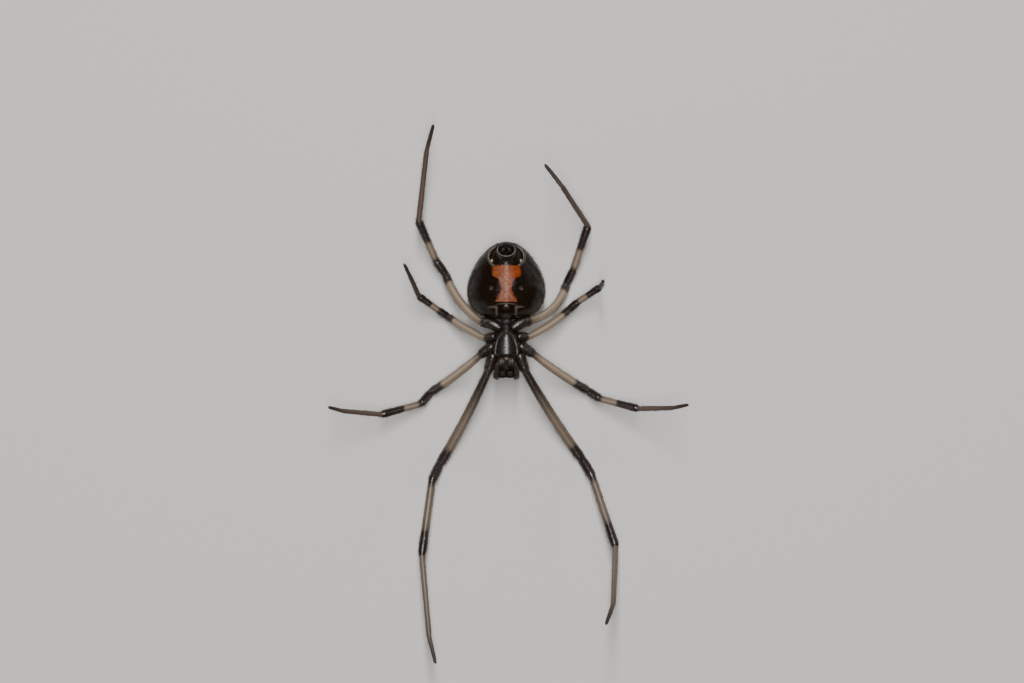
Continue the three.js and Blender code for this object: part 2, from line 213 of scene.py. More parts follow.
class Wire:
    def __init__(self, shader, outlet):
        self.shader = shader
        self.outlet = outlet

    def sum(self, operation, first, second):
        return self.shader.add("ShaderNodeMath", {"operation": operation}, {0: first, 1: second})

    def __add__(self, other):
        return self.sum("ADD", self, other)

    def __radd__(self, other):
        return self.sum("ADD", other, self)

    def __sub__(self, other):
        return self.sum("SUBTRACT", self, other)

    def __rsub__(self, other):
        return self.sum("SUBTRACT", other, self)

    def __mul__(self, other):
        return self.sum("MULTIPLY", self, other)

    def __rmul__(self, other):
        return self.sum("MULTIPLY", other, self)

    def __truediv__(self, other):
        return self.sum("DIVIDE", self, other)

    def __pow__(self, other):
        return self.sum("POWER", self, other)

    def __abs__(self):
        return self.sum("ABSOLUTE", self, 0.0)


class Shader:
    def __init__(self, name):
        self.material = bpy.data.materials.new(name)
        self.material.use_nodes = True
        self.tree = self.material.node_tree
        self.tree.nodes.clear()

    def add(self, kind, settings=None, sockets=None, output=0):
        node = self.tree.nodes.new(kind)
        for key, value in (settings or {}).items():
            if key == "stops":
                ramp = node.color_ramp
                while len(ramp.elements) < len(value):
                    ramp.elements.new(0.5)
                for stop, (place, grey) in zip(ramp.elements, value):
                    stop.position = place
                    stop.color = (grey, grey, grey, 1)
            else:
                setattr(node, key, value)
        for key, value in (sockets or {}).items():
            if isinstance(value, Wire):
                self.tree.links.new(value.outlet, node.inputs[key])
            else:
                node.inputs[key].default_value = value
        return Wire(self, node.outputs[output])

    def place(self):
        # Object coordinates in the spider's own millimetres
        raw = self.add("ShaderNodeTexCoord", output="Object")
        moved = self.add("ShaderNodeVectorMath", {"operation": "SUBTRACT"}, {0: raw, 1: tuple(move)})
        return self.add("ShaderNodeVectorMath", {"operation": "MULTIPLY"}, {0: moved, 1: (1 / mm,) * 3})

    def axes(self, place):
        node = self.add("ShaderNodeSeparateXYZ", sockets={0: place}).outlet.node
        return [Wire(self, outlet) for outlet in node.outputs]

    def noise(self, place, scale, detail=3.0, roughness=0.55):
        return self.add("ShaderNodeTexNoise", None,
                        {"Vector": place, "Scale": scale, "Detail": detail, "Roughness": roughness})

    def step(self, value, start, end):
        # rises smoothly from 0 to 1 between start and end
        return self.add("ShaderNodeMapRange", {"interpolation_type": "SMOOTHSTEP"},
                        {"Value": value, "From Min": start, "From Max": end, "To Min": 0.0, "To Max": 1.0})

    def window(self, value, rise, fall):
        # rises over the first span and falls again over the second
        return self.step(value, *rise) * (1 - self.step(value, *fall))

    def bell(self, value, middle, width):
        # 1 in the middle, falling smoothly to 0 a width away
        off = (value - middle) / width
        return 1 - self.step(abs(off), 0.0, 1.0)

    def spots(self, x, y, spots):
        # each spot is its strength at the centre of an ellipse, falling to 0 at its edge
        total = 0.0
        for centre, size, strength in spots:
            dx, dy = (x - centre[0]) / size[0], (y - centre[1]) / size[1]
            total = total + (1 - self.step(dx * dx + dy * dy, 0.25, 1.0)) * strength
        return total

    def ramp(self, value, stops):
        # straight lines between (place, value) stops
        return self.add("ShaderNodeValToRGB", {"stops": stops}, {0: value})

    def mix(self, share, first, second):
        sockets = {0: share, 6: (*first, 1) if isinstance(first, tuple) else first,
                   7: (*second, 1) if isinstance(second, tuple) else second}
        return self.add("ShaderNodeMix", {"data_type": "RGBA"}, sockets, output=2)

    def finish(self, colour, roughness, height, heightMm, settings=None):
        # settings are the same all over the surface and go on the shader's own sockets
        bump = self.add("ShaderNodeBump", None,
                        {"Height": height, "Distance": heightMm * mm, "Strength": 1.0})
        sockets = {"Base Color": colour, "Roughness": roughness, "Normal": bump, **(settings or {})}
        skin = self.add("ShaderNodeBsdfPrincipled", None, sockets)
        out = self.tree.nodes.new("ShaderNodeOutputMaterial")
        self.tree.links.new(skin.outlet, out.inputs["Surface"])
        return self.material


def scaled(colour, factor):
    return tuple(c * factor for c in colour)


# Legs. Their lines have the same lengths and angles as the solids. Lengths run from coxa to tarsus.

legPieces = 6
legSizes = {
    1: {"lengths": [1.28, 7.55, 1.4, 5.1, 5.5, 1.95],
        "kneeRadius": 0.36, "thick": 1.1, "coxaThick": 1.2, "shankThick": 1.1},
    2: {"lengths": [1.2, 5.0, 1.1, 2.9, 3.0, 1.3],
        "kneeRadius": 0.31, "thick": 0.98, "coxaThick": 1.2, "shankThick": 1.0},
    3: {"lengths": [0.78, 3.9, 0.9, 1.95, 2.1, 1.1],
        "kneeRadius": 0.28, "thick": 0.88, "coxaThick": 1.05, "shankThick": 0.95},
    4: {"lengths": [1.45, 4.45, 1.15, 3.4, 4.9, 1.9],
        "kneeRadius": 0.3, "thick": 0.96, "coxaThick": 1.26, "shankThick": 1.08},
}
legRoots = {1: (0.85, -1.97), 2: (0.85, -1.43), 3: (0.72, -0.88), 4: (0.35, -0.36)}
rest = None  # a femur that comes down until its knee is on the floor
# pair and side, with each piece's heading and climb in degrees, and how far the femur bows, in millimetres
legPoses = {
    (1, -1): {"heading": [-106.5, -117.5, -115, -97.5, -84.5, -76],
              "climb": [-14, rest, 33, 17, 16, 23], "bow": 0.12},
    (1, 1): {"heading": [-71, -57.3, -59.5, -71.7, -94, -112.6],
             "climb": [-14, rest, 23, 18.5, 49.5, 48], "bow": 0.12},
    (2, -1): {"heading": [-142.5, -143, -130, -165, 174.3, 163.4],
              "climb": [-15, rest, 30, 24, 31, 44.5], "bow": 0.08},
    (2, 1): {"heading": [-32.5, -34, -33.7, -14.4, 2, 12],
             "climb": [-14, -30.5, 31, 26, 44, 34], "bow": 0.08},
    (3, -1): {"heading": [-171, 149.6, 144.6, 144.6, 113, 115],
              "climb": [-20, -43.5, 35, 36, 50, 27], "bow": 0.06},
    (3, 1): {"heading": [-1, 33.6, 41, 33.7, 60, 80],
             "climb": [-20, -34, 27, 28, 84, 79], "bow": 0.12},
    (4, -1): {"heading": [163, 126, 124.7, 113.4, 83, 74.5],
              "climb": [-10, -28, 17, 34, 19, 27], "bow": 0.28},
    (4, 1): {"heading": [21, 47, 63.6, 71.6, 124.9, 128.6],
             "climb": [-12, rest, 34, 25, 52, 12], "bow": 0.46},
}
# thickAt: a leg goes over from its coxa's thickness to its own between the first two stations, and to its
# shank's between the last two
legLook = {
    "rootZ": 3.42, "kneeSink": 0.05, "ringStep": 0.055, "around": 26, "kneeSoftness": 1.6,
    "radiusSoftness": 0.8, "thickAt": [0.8, 1.1, 2.8, 3.1],
    "hindCoxaShift": (0, 0.13, 0.06), "coxaMiddle": 0.5, "coxaSpread": 0.45,
}

# Radius in millimetres by station: 0 to 1 is the coxa with its trochanter, 1 to 2 the femur, then patella,
# tibia, metatarsus and tarsus. Each joint is a waist between two swollen ends.
legProfile = [
    (0.0, 0.25), (0.12, 0.285), (0.3, 0.3), (0.52, 0.295), (0.65, 0.28), (0.695, 0.262), (0.75, 0.282),
    (0.9, 0.278), (0.975, 0.25), (1.005, 0.232), (1.04, 0.238), (1.1, 0.255), (1.3, 0.285), (1.6, 0.295),
    (1.85, 0.3), (1.92, 0.315), (1.965, 0.3), (1.995, 0.262), (2.03, 0.26), (2.14, 0.288), (2.4, 0.298),
    (2.7, 0.29), (2.88, 0.285), (2.96, 0.262), (3.0, 0.222), (3.03, 0.218), (3.1, 0.228), (3.4, 0.23),
    (3.7, 0.245), (3.86, 0.272), (3.94, 0.268), (3.98, 0.235), (4.01, 0.18), (4.05, 0.165), (4.12, 0.17),
    (4.3, 0.168), (4.8, 0.155), (4.94, 0.158), (4.985, 0.145), (5.01, 0.128), (5.06, 0.135), (5.4, 0.128),
    (5.8, 0.112), (5.93, 0.102), (5.98, 0.082), (6.0, 0.045),
]


def direction(heading, climb):
    # cos h cos c, sin h cos c, sin c
    h, c = math.radians(heading), math.radians(climb)
    return np.array([math.cos(h) * math.cos(c), math.sin(h) * math.cos(c), math.sin(c)])


def legLine(pair, side):
    # joints from root to tip, then points every ringStep along them, rounded at the joints and bowed in the
    # femur by 4 t (1 - t)
    size, pose = legSizes[pair], legPoses[pair, side]
    joints = [np.array([side * legRoots[pair][0], legRoots[pair][1], legLook["rootZ"]])]
    ways = []
    for length, heading, climb in zip(size["lengths"], pose["heading"], pose["climb"]):
        if climb is None:
            drop = (size["kneeRadius"] - legLook["kneeSink"] - joints[-1][2]) / length
            climb = math.degrees(math.asin(drop))
        ways.append(direction(heading, climb))
        joints.append(joints[-1] + ways[-1] * length)
    joints = np.array(joints)
    reach = np.concatenate([[0], np.cumsum(size["lengths"])])
    at = np.linspace(0, reach[-1], int(reach[-1] / legLook["ringStep"]))
    station = np.interp(at, reach, np.arange(legPieces + 1))
    line = np.stack([np.interp(at, reach, joints[:, k]) for k in range(3)], 1)
    line = softened(line, legLook["kneeSoftness"])
    line[0], line[-1] = joints[0], joints[-1]
    femurShare = np.clip(station - 1, 0, 1)
    sideways = unit(np.cross(ways[1], up)) * side * pose["bow"]
    line += (4 * femurShare * (1 - femurShare))[:, None] * sideways
    if pair == 4:  # the hind coxae lie against the abdomen
        shift = hump(station, legLook["coxaMiddle"], legLook["coxaSpread"])
        line += shift[:, None] * np.array(legLook["hindCoxaShift"])
    thicknesses = [size["coxaThick"], size["thick"], size["thick"], size["shankThick"]]
    radii = np.interp(station, *np.array(legProfile).T) * np.interp(station, legLook["thickAt"], thicknesses)
    return {"line": line, "station": station, "radii": softened(radii, legLook["radiusSoftness"]), "at": at,
            "ways": ways, "side": unit(np.cross(ways[1] + ways[3] + ways[4], up))}


# hooks holds how far out each claw stands and its size beside the largest
claw = {
    "setBack": 0.12, "length": 0.13, "hook": 0.1, "radius": 0.02, "taper": 0.85, "rings": 9, "around": 7,
    "hooks": ((0.03, 1.0), (-0.03, 1.0), (0.0, 0.6)),
}


def clawForms(leg):
    # two hooks and a short middle one beyond the tip, each a tapering tube bent to the sole by t squared
    way, across = leg["ways"][5], leg["side"]
    tip = leg["line"][-1] - claw["setBack"] * way
    sole = unit(np.cross(across, way))
    sole = sole if sole[2] > 0 else -sole
    t = np.linspace(0, 1, claw["rings"])[:, None]
    forms = []
    for out, size in claw["hooks"]:
        reach = way * claw["length"] * t + sole * claw["hook"] * t ** 2 + across * out * t
        radii = claw["radius"] * size * (1 - claw["taper"] * t[:, 0])
        line = tip + across * out + size * reach
        forms.append(tubeForm(line, radii, across, claw["around"], along=np.ones(claw["rings"])))
    return forms


legs = {(pair, side): legLine(pair, side) for pair in legSizes for side in sideName}

# Leg skin: pale between dark joints. The bands lie along the map's first number, the station over legPieces.

legSkin = {
    # the colour after dark is a painted highlight for the dark bands: interrupted streaks and glints near
    # the body
    "dark": (0.013, 0.0075, 0.0058), "darkTop": (0.1, 0.088, 0.08), "tip": (0.026, 0.015, 0.011),
    "speck": (0.02, 0.012, 0.008), "roughness": 0.2, "bump": 0.009,
    # the streak and speck scales size the painted highlight streaks and glints on the dark
    "wander": 0.012, "wanderScale": 2.4, "blotchScale": 5.0, "glintStreakScale": 7.0, "glintSpeckScale": 13.0,
    "fineScale": 22.0, "grainScale": 60.0,
    "nearBody": (1.0, 1.45), "foot": (3.99, 4.04), "toTip": (4.2, 5.95),
    # a painted highlight round the leg: 1 on its top and underside, 0 on its sides
    "ridge": [(0.0, 0.0), (0.19, 0.3), (0.23, 1.0), (0.27, 1.0), (0.31, 0.3), (0.5, 0.0),
              (0.69, 0.3), (0.73, 1.0), (0.77, 1.0), (0.81, 0.3), (1.0, 0.0)],
}
legColours = {
    1: {"pale": (0.175, 0.133, 0.098), "foot": (0.13, 0.095, 0.07)},
    2: {"pale": (0.25, 0.19, 0.136), "foot": (0.085, 0.055, 0.042)},
    3: {"pale": (0.25, 0.19, 0.136), "foot": (0.0425, 0.0275, 0.021)},
    4: {"pale": (0.25, 0.19, 0.136), "foot": (0.085, 0.055, 0.042)},
}
# the bands of each pair: station and how pale it is, 0 dark to 1 pale
legBands = {
    1: [(0.0, 0.0), (1.16, 0.04), (1.34, 0.45), (1.55, 0.85), (1.8, 0.8), (1.85, 0.04), (2.5, 0.02),
        (3.03, 0.04), (3.12, 0.75), (3.5, 0.85), (3.64, 0.6), (3.7, 0.03), (4.0, 0.0)],
    2: [(0.0, 0.0), (0.95, 0.02), (1.05, 0.6), (1.12, 1.0), (1.71, 1.0), (1.75, 0.04), (2.5, 0.02),
        (3.05, 0.04), (3.13, 0.8), (3.44, 0.85), (3.49, 0.04), (4.0, 0.0)],
    3: [(0.0, 0.0), (0.85, 0.05), (1.02, 0.8), (1.15, 1.0), (1.79, 1.0), (1.83, 0.04), (2.5, 0.02),
        (3.05, 0.05), (3.13, 0.85), (3.42, 0.85), (3.47, 0.04), (4.0, 0.0)],
    4: [(0.0, 0.0), (0.9, 0.05), (1.02, 0.7), (1.15, 1.0), (1.81, 1.0), (1.85, 0.04), (2.5, 0.02),
        (3.05, 0.05), (3.13, 0.85), (3.45, 0.9), (3.53, 0.06), (4.0, 0.0)],
}


def legMaterial(pair, name="legSkin", lift=1.0, rough=legSkin["roughness"]):
    # colour = dark to pale by the bands, with a painted highlight along the top and underside of the leg and
    # painted shade on its sides, and interrupted painted highlight streaks and glints on the dark; past
    # station 4 a foot colour with the same painted light that darkens to its tip. lift brightens it all.
    look, paleColour, footColour = legSkin, legColours[pair]["pale"], legColours[pair]["foot"]
    shader = Shader(f"{name}{pair}")
    place = shader.place()
    along, roundLeg, _ = shader.axes(shader.add("ShaderNodeUVMap", {"uv_map": "along"}))

    def past(span):
        # 0 before the span of stations, 1 after it
        return shader.step(along, span[0] / legPieces, span[1] / legPieces)

    wander = (shader.noise(place, look["wanderScale"], 2.0) - 0.5) * look["wander"]
    paleness = shader.ramp(along + wander, [(station / legPieces, pale) for station, pale in legBands[pair]])
    # painted highlight along the top and underside of the leg
    ridge = shader.ramp(roundLeg, look["ridge"])
    blotch = shader.noise(place, look["blotchScale"], 4.0, 0.6)
    fine = shader.noise(place, look["fineScale"], 3.0, 0.6)
    foot = past(look["foot"])
    # the pale colour, lighter where the painted highlight lies and darker, as painted shade, on the sides
    light = shader.mix(ridge, scaled(paleColour, 0.8 * lift), scaled(paleColour, 1.75 * lift))
    pale = shader.mix(blotch * 0.5, light, scaled(paleColour, 0.7 * lift))
    dark = shader.mix(blotch, scaled(look["dark"], 0.6 * lift), scaled(look["dark"], 1.6 * lift))
    # interrupted painted highlight streaks along the top of the dark bands
    glareBreaks = shader.step(shader.noise(place, look["glintStreakScale"], 3.0, 0.7), 0.38, 0.62)
    dark = shader.mix(ridge * ridge * ridge * glareBreaks * 0.75, dark, scaled(look["darkTop"], lift))
    # painted glints on the dark near the body
    glintSpecks = shader.step(shader.noise(place, look["glintSpeckScale"], 3.0, 0.6), 0.58, 0.66)
    dark = shader.mix(glintSpecks * (1 - past(look["nearBody"])) * 0.55, dark, scaled(look["darkTop"], lift))
    # the foot colour with the same painted highlight and painted shade
    footWithHighlight = shader.mix(ridge, scaled(footColour, 0.85 * lift), scaled(footColour, 1.5 * lift))
    footPart = shader.mix(past(look["toTip"]), footWithHighlight, scaled(look["tip"], lift))
    colour = shader.mix(paleness, shader.mix(foot, dark, footPart), pale)
    colour = shader.mix(shader.step(fine, 0.55, 0.75) * 0.3, colour, look["speck"])
    roughness = rough + (fine - 0.5) * 0.14 + paleness * 0.05 + foot * 0.25
    height = fine * 0.6 + shader.noise(place, look["grainScale"], 2.0) * 0.4
    return shader.finish(colour, roughness, height, look["bump"], {"Specular IOR Level": 0.5})


legMaterials = {pair: legMaterial(pair) for pair in legSizes}
for (pair, side), leg in legs.items():
    form = tubeForm(leg["line"], leg["radii"], leg["side"], legLook["around"], leg["station"] / legPieces)
    nodes = [f"leg_{pair}_{sideName[side]}_{k}" for k in ("coxa", "femur", "patella", "tibia", "tarsus")]
    name = f"leg{pair}{sideName[side].title()}"
    makePiece(name, [form] + clawForms(leg), legMaterials[pair], nodes)
print("legs done")

# Abdomen: an egg on an axis that bends up at both ends

abdomen = {
    "length": 5.17, "halfWidth": 2.6, "belly": 2.36, "back": 2.56, "axisZ": 2.44,
    "frontLift": 0.52, "rearLift": 0.88, "broadest": 0.45, "skew": 0.697, "rows": 300, "around": 300,
    "inset": 0.012, "uneven": 0.012, "reliefCentre": 0.2, "bellyFrom": (0.1, 0.45),
}
# pits on the back: depth, |x| and its width, the width along y, and the y of each
backPits = {"depth": 0.05, "x": 0.55, "widthX": 0.1, "widthY": 0.12, "ys": (1.7, 2.5, 3.3)}


def eggWidth(share, skew):
    # sqrt(sin(pi share^skew)): 0 at both poles, 1 between them
    return np.sqrt(np.clip(np.sin(np.pi * share ** skew), 0, 1))


def abdomenPlain(share, angle):
    # an ellipse of eggWidth's size across an axis that rises by the square of the distance from the
    # broadest place
    b = abdomen
    width = eggWidth(share, b["skew"])
    lift = np.where(share < b["broadest"], b["frontLift"] * (1 - share / b["broadest"]) ** 2,
                    b["rearLift"] * ((share - b["broadest"]) / (1 - b["broadest"])) ** 2)
    tall = np.where(np.sin(angle) > 0, b["belly"], b["back"]) * np.sin(angle) * width
    return np.stack([b["halfWidth"] * width * np.cos(angle), abdomenFront + b["length"] * share + 0 * angle,
                     b["axisZ"] + lift + tall], -1)


foldOval = {"y": 4.38, "half": (1.16, 0.8)}  # round the spinnerets
# relief of the underside, in millimetres: a fold round the oval and a gutter inside it. Each is a height,
# its distance from the centre in ovals, and a width.
foldRelief = {"fold": (0.055, 1.0, 0.06), "gutter": (-0.06, 0.84, 0.1), "from": (0.3, 0.7)}
# grooves and lips across it: height, y on the middle line, width, and the |x| over which each fades
acrossRelief = [(-0.05, 1.36, 0.03, (0.72, 0.95)), (0.03, 1.25, 0.07, (0.3, 0.8))]
acrossBend = 0.05  # how far they bend forwards at |x| 1
# pads and pits: height, |x| and its width, y and its width
padRelief = [
    (0.06, 0, 0.26, 1.1, 0.17), (-0.05, 0, 0.09, 1.14, 0.05),  # the plate before the furrow, with its pit
    (0.045, 0.86, 0.3, 0.98, 0.26),  # lungs
    (-0.05, 0.99, 0.09, 2.24, 0.09), (-0.035, 0.85, 0.08, 3.3, 0.08),  # muscle pits
    (0.05, 0, 0.2, 4.03, 0.14), (0.04, 0.95, 0.07, 4.1, 0.08),  # knobs before the spinnerets
]
lungSlit = {"depth": 0.03, "y": 1.27, "slope": 0.1, "x": 0.8, "width": 0.03, "middle": 0.85, "half": 0.28}
wrinkles = {"height": 0.012, "perMm": 9, "sway": 1.5, "swayPerMm": 3, "from": (1.2, 2.2)}


def ovalOut(x, y, oval):
    # sqrt((x / a)^2 + ((y - y0) / b)^2), which is 1 on the oval's line and less inside it
    return ((x / oval["half"][0]) ** 2 + ((y - oval["y"]) / oval["half"][1]) ** 2) ** 0.5


def abdomenRelief(x, y):
    # how far the underside's skin stands out: the sum of bells across its folds, grooves and pads
    side = np.abs(x)
    oval = ovalOut(x, y, foldOval)
    fold = sum(h * hump(oval, at, width) for h, at, width in (foldRelief["fold"], foldRelief["gutter"]))
    fold = fold * smoothStep(side, *foldRelief["from"])
    bent = y + acrossBend * side ** 2
    lines = 0.0
    for height, at, width, fade in acrossRelief:
        lines = lines + height * hump(bent, at, width) * (1 - smoothStep(side, *fade))
    pads = sum(h * hump(side, px, wx) * hump(y, py, wy) for h, px, wx, py, wy in padRelief)
    s = lungSlit
    slit = -s["depth"] * hump(y, s["y"] - s["slope"] * (side - s["x"]), s["width"])
    slit = slit * hump(side, s["middle"], s["half"])
    w = wrinkles
    ripple = w["height"] * np.sin(w["perMm"] * y + w["sway"] * np.sin(w["swayPerMm"] * x))
    return fold + lines + pads + slit + ripple * smoothStep(side, *w["from"])


def abdomenSurface(share, angle):
    # the plain egg, moved out from its axis by the relief, by pits on the back and by slow waves all over
    p = abdomenPlain(share, angle)
    x, y, z = p[..., 0], p[..., 1], p[..., 2]
    belly = smoothStep(np.sin(angle), *abdomen["bellyFrom"])
    centre = np.stack([0 * x, y, 0 * z + abdomen["axisZ"] + abdomen["reliefCentre"]], -1)
    k = backPits
    pits = sum(hump(np.abs(x), k["x"], k["widthX"]) * hump(y, at, k["widthY"]) for at in k["ys"])
    waves = np.sin(5.1 * x + 1) * np.sin(4.3 * y + 2) * np.sin(3.7 * z)
    out = belly * abdomenRelief(x, y) - k["depth"] * (1 - belly) * pits + abdomen["uneven"] * waves
    return p + unit(p - centre) * (out - abdomen["inset"])[..., None]


abdomenSkin = {
    "black": (0.006, 0.0029, 0.0014), "browner": (0.013, 0.0066, 0.003), "freckle": (0.02, 0.011, 0.006),
    # the third colour is the hourglass's pinker front and also a painted glare down its middle
    "orange": (0.27, 0.05, 0.004), "tan": (0.25, 0.075, 0.018), "pink": (0.2, 0.062, 0.022),
    # the first colour below is a painted highlight, a line down the hourglass's middle
    "shine": (0.5, 0.23, 0.12), "red": (0.13, 0.012, 0.004), "grey": (0.12, 0.093, 0.075),
    # the first two colours below are painted light: a highlight along the fold round the spinnerets, and
    # glints
    "fold": (0.3, 0.26, 0.22), "bright": (0.45, 0.38, 0.26), "line": (0.01, 0.002, 0.0015),
    "roughness": 0.15, "bump": 0.007, "bellyFrom": (3.0, 3.5),
    "patchScale": 1.3, "fineScale": 14.0, "grainScale": 70.0,
}
# the hourglass between its front and rear edges: half width in millimetres, soft and ragged edges, the
# noises that mottle it, and the width and noise of the painted glare down its middle
hourglass = {
    "front": 1.4, "rear": 3.77,
    "halfWidths": [(0.0, 0.73), (0.055, 0.67), (0.155, 0.53), (0.282, 0.385), (0.375, 0.31), (0.507, 0.385),
                   (0.6, 0.46), (0.65, 0.56), (0.69, 0.78), (0.73, 0.91), (0.82, 0.95), (0.93, 0.94),
                   (1.0, 0.88)],
    "ragged": 0.5, "raggedScale": 3.6, "soft": (-0.07, 0.09), "frontFade": (1.38, 1.42),
    "rearFade": (3.72, 3.84), "rimRise": (1.38, 1.45), "rimFall": (3.7, 3.8), "rimWidth": 0.07,
    # the middle width and the second noise scale below shape the painted glare and highlight line down the
    # middle
    "mottleScale": 4.5, "glareLineScale": 6.0, "pebbleScale": 5.0, "pebbles": 5.0, "middle": 0.2,
    "warm": (-0.5, 0.5), "frontPink": (2.2, 3.3),
}
# painted marks of the underside, on the same lines as the relief. A spot is its centre, size and strength.
abdomenMarks = {
    # the fold lines are a painted highlight along the edge of the fold round the spinnerets
    "fold": ((1.0, 0.042, 1.0), (1.1, 0.04, 0.4)), "foldFrom": (0.55, 0.85),
    "lungBar": {"x": 0.64, "width": 0.14, "rise": (0.4, 0.6), "fall": (0.95, 1.1)},
    "lungWedge": {"y": 1.07, "point": 1.34, "width": 0.26, "rise": (0.52, 0.64), "fall": (1.1, 1.28)},
    "furrow": {"y": 1.29, "bend": 0.12, "width": 0.04, "fall": (0.45, 0.75)},
    "streak": {"slope": (1.25, 0.98), "at": 5.52, "width": 0.07, "rise": (1.1, 1.4), "fall": (1.9, 2.3)},
    # the second spot is a painted highlight in the muscle pits; the others are grey of the skin
    "greyAndHighlightSpots": [((0.0, 1.05), (0.28, 0.2), 0.2), ((0.97, 2.3), (0.16, 0.18), 0.4),
                  ((0.0, 4.05), (0.26, 0.13), 0.3), ((0.0, 0.42), (0.4, 0.24), 0.5)],
    # painted glints: small highlights on the knobs before the spinnerets and by the pit before the furrow
    "brightSpots": [((0.95, 4.12), (0.075, 0.12), 1.0), ((0.0, 1.17), (0.09, 0.06), 0.7)],
    "darkLine": {"y": 1.35, "width": 0.04, "fall": (0.75, 0.95)},
}


def greyAndHighlightMarks(shader, x, side, y):
    # bells across the lungs' bars and wedges, the furrow and a slanting streak on the right, and the spots,
    # one of them a painted highlight in the muscle pits
    bar, wedge = abdomenMarks["lungBar"], abdomenMarks["lungWedge"]
    lungs = shader.bell(side, bar["x"], bar["width"]) * shader.window(y, bar["rise"], bar["fall"])
    across = shader.bell((y - wedge["y"]) / (wedge["point"] - side), 0.0, wedge["width"])
    lungs = lungs + across * shader.window(side, wedge["rise"], wedge["fall"])
    furrow, streak = abdomenMarks["furrow"], abdomenMarks["streak"]
    furrowLine = shader.bell(y + side * side * furrow["bend"], furrow["y"], furrow["width"])
    furrowLine = furrowLine * (1 - shader.step(side, *furrow["fall"]))
    slant = side * streak["slope"][0] + y * streak["slope"][1]
    streakLine = shader.bell(slant, streak["at"], streak["width"])
    streakLine = streakLine * shader.window(x, streak["rise"], streak["fall"])
    spots = shader.spots(side, y, abdomenMarks["greyAndHighlightSpots"])
    return lungs * 0.85 + furrowLine * 0.9 + streakLine * 0.3 + spots


def hourglassColour(shader, place, x, y, patches, fine):
    # tan to orange from left to right, pinker at the front, with a painted glare of the same colour in the
    # middle, mottled with red, and a painted highlight line down the middle that noise interrupts
    look, glass = abdomenSkin, hourglass
    warmth = shader.step(x + (patches - 0.5) * 0.8, *glass["warm"])
    orange = shader.mix(warmth, look["tan"], look["orange"])
    front = 1 - shader.step(y, *glass["frontPink"])
    # painted glare: a bell across the middle, added to the pinker front
    pink = shader.bell(x + 0.04, 0.0, glass["middle"]) * 0.3 + front * 0.35
    orange = shader.mix(pink, orange, look["pink"])
    orange = shader.mix(shader.step(fine, 0.5, 0.7) * 0.5, orange, look["red"])
    mottle = shader.step(shader.noise(place, glass["mottleScale"], 4.0, 0.7), 0.44, 0.6)
    orange = shader.mix(mottle * 0.6, orange, look["red"])
    # painted highlight line down the middle, interrupted by noise
    glareBreaks = shader.step(shader.noise(place, glass["glareLineScale"], 3.0, 0.7), 0.4, 0.62)
    return shader.mix(shader.bell(x, 0.0, glass["middle"]) * glareBreaks * 0.55, orange, look["shine"])


def abdomenMaterial():
    # near black, with the hourglass where |x| is less than its half width at that y, and marks that lie on
    # the same lines as the relief; painted highlights lie along the fold, in the muscle pits, as glints and
    # down the hourglass's middle
    look, glass, marks = abdomenSkin, hourglass, abdomenMarks
    shader = Shader("abdomenSkin")
    place = shader.place()
    x, y, z = shader.axes(place)
    side = abs(x)
    patches = shader.noise(place, look["patchScale"], 4.0, 0.6)
    fine = shader.noise(place, look["fineScale"], 4.0, 0.6)
    grain = shader.noise(place, look["grainScale"], 2.0)
    belly = shader.step(z, *look["bellyFrom"])
    colour = shader.mix(patches, look["black"], look["browner"])
    colour = shader.mix(shader.step(fine, 0.5, 0.8) * 0.25, colour, look["freckle"])
    # grey marks of the skin, with one painted highlight in the muscle pits
    grey = greyAndHighlightMarks(shader, x, side, y) * belly
    colour = shader.mix(grey * shader.step(fine, 0.25, 0.5), colour, look["grey"])
    oval = ovalOut(x, y, foldOval)
    # painted highlight along the edge of the fold round the spinnerets, in dots
    foldHighlight = sum(shader.bell(oval, at, width) * strength for at, width, strength in marks["fold"])
    foldHighlight = foldHighlight * shader.step(side, *marks["foldFrom"])
    colour = shader.mix(foldHighlight * shader.step(fine, 0.3, 0.55) * belly, colour, look["fold"])
    # painted glints
    colour = shader.mix(shader.spots(side, y, marks["brightSpots"]) * belly, colour, look["bright"])
    edge = (shader.noise(place, glass["raggedScale"], 5.0, 0.8) - 0.5) * glass["ragged"]
    share = (y - glass["front"]) / (glass["rear"] - glass["front"])
    inside = shader.ramp(share, glass["halfWidths"]) - side + edge
    frontEdge = shader.step(y + edge * 0.15, *glass["frontFade"])
    rearEdge = 1 - shader.step(y + edge, *glass["rearFade"])
    mark = shader.step(inside, *glass["soft"]) * frontEdge * rearEdge * belly
    colour = shader.mix(mark, colour, hourglassColour(shader, place, x, y, patches, fine))
    rim = shader.bell(inside, -0.02, glass["rimWidth"])
    rim = rim * shader.window(y, glass["rimRise"], glass["rimFall"])
    colour = shader.mix(rim * belly * 0.5, colour, look["red"])
    line = marks["darkLine"]
    darkLine = shader.bell(y, line["y"], line["width"]) * (1 - shader.step(side, *line["fall"])) * belly
    colour = shader.mix(darkLine, colour, look["line"])
    roughness = look["roughness"] + (fine - 0.5) * 0.1
    pebbles = (shader.noise(place, glass["pebbleScale"], 3.0, 0.7) - 0.5) * mark * glass["pebbles"]
    height = fine * 0.4 + grain * 0.6 + pebbles
    return shader.finish(colour, roughness, height, look["bump"], {"Specular IOR Level": 0.2})


abdomenForm = roundForm(abdomenSurface, abdomen["rows"], abdomen["around"])
makePiece("abdomenSkin", [abdomenForm], abdomenMaterial(), ["abdomen"])


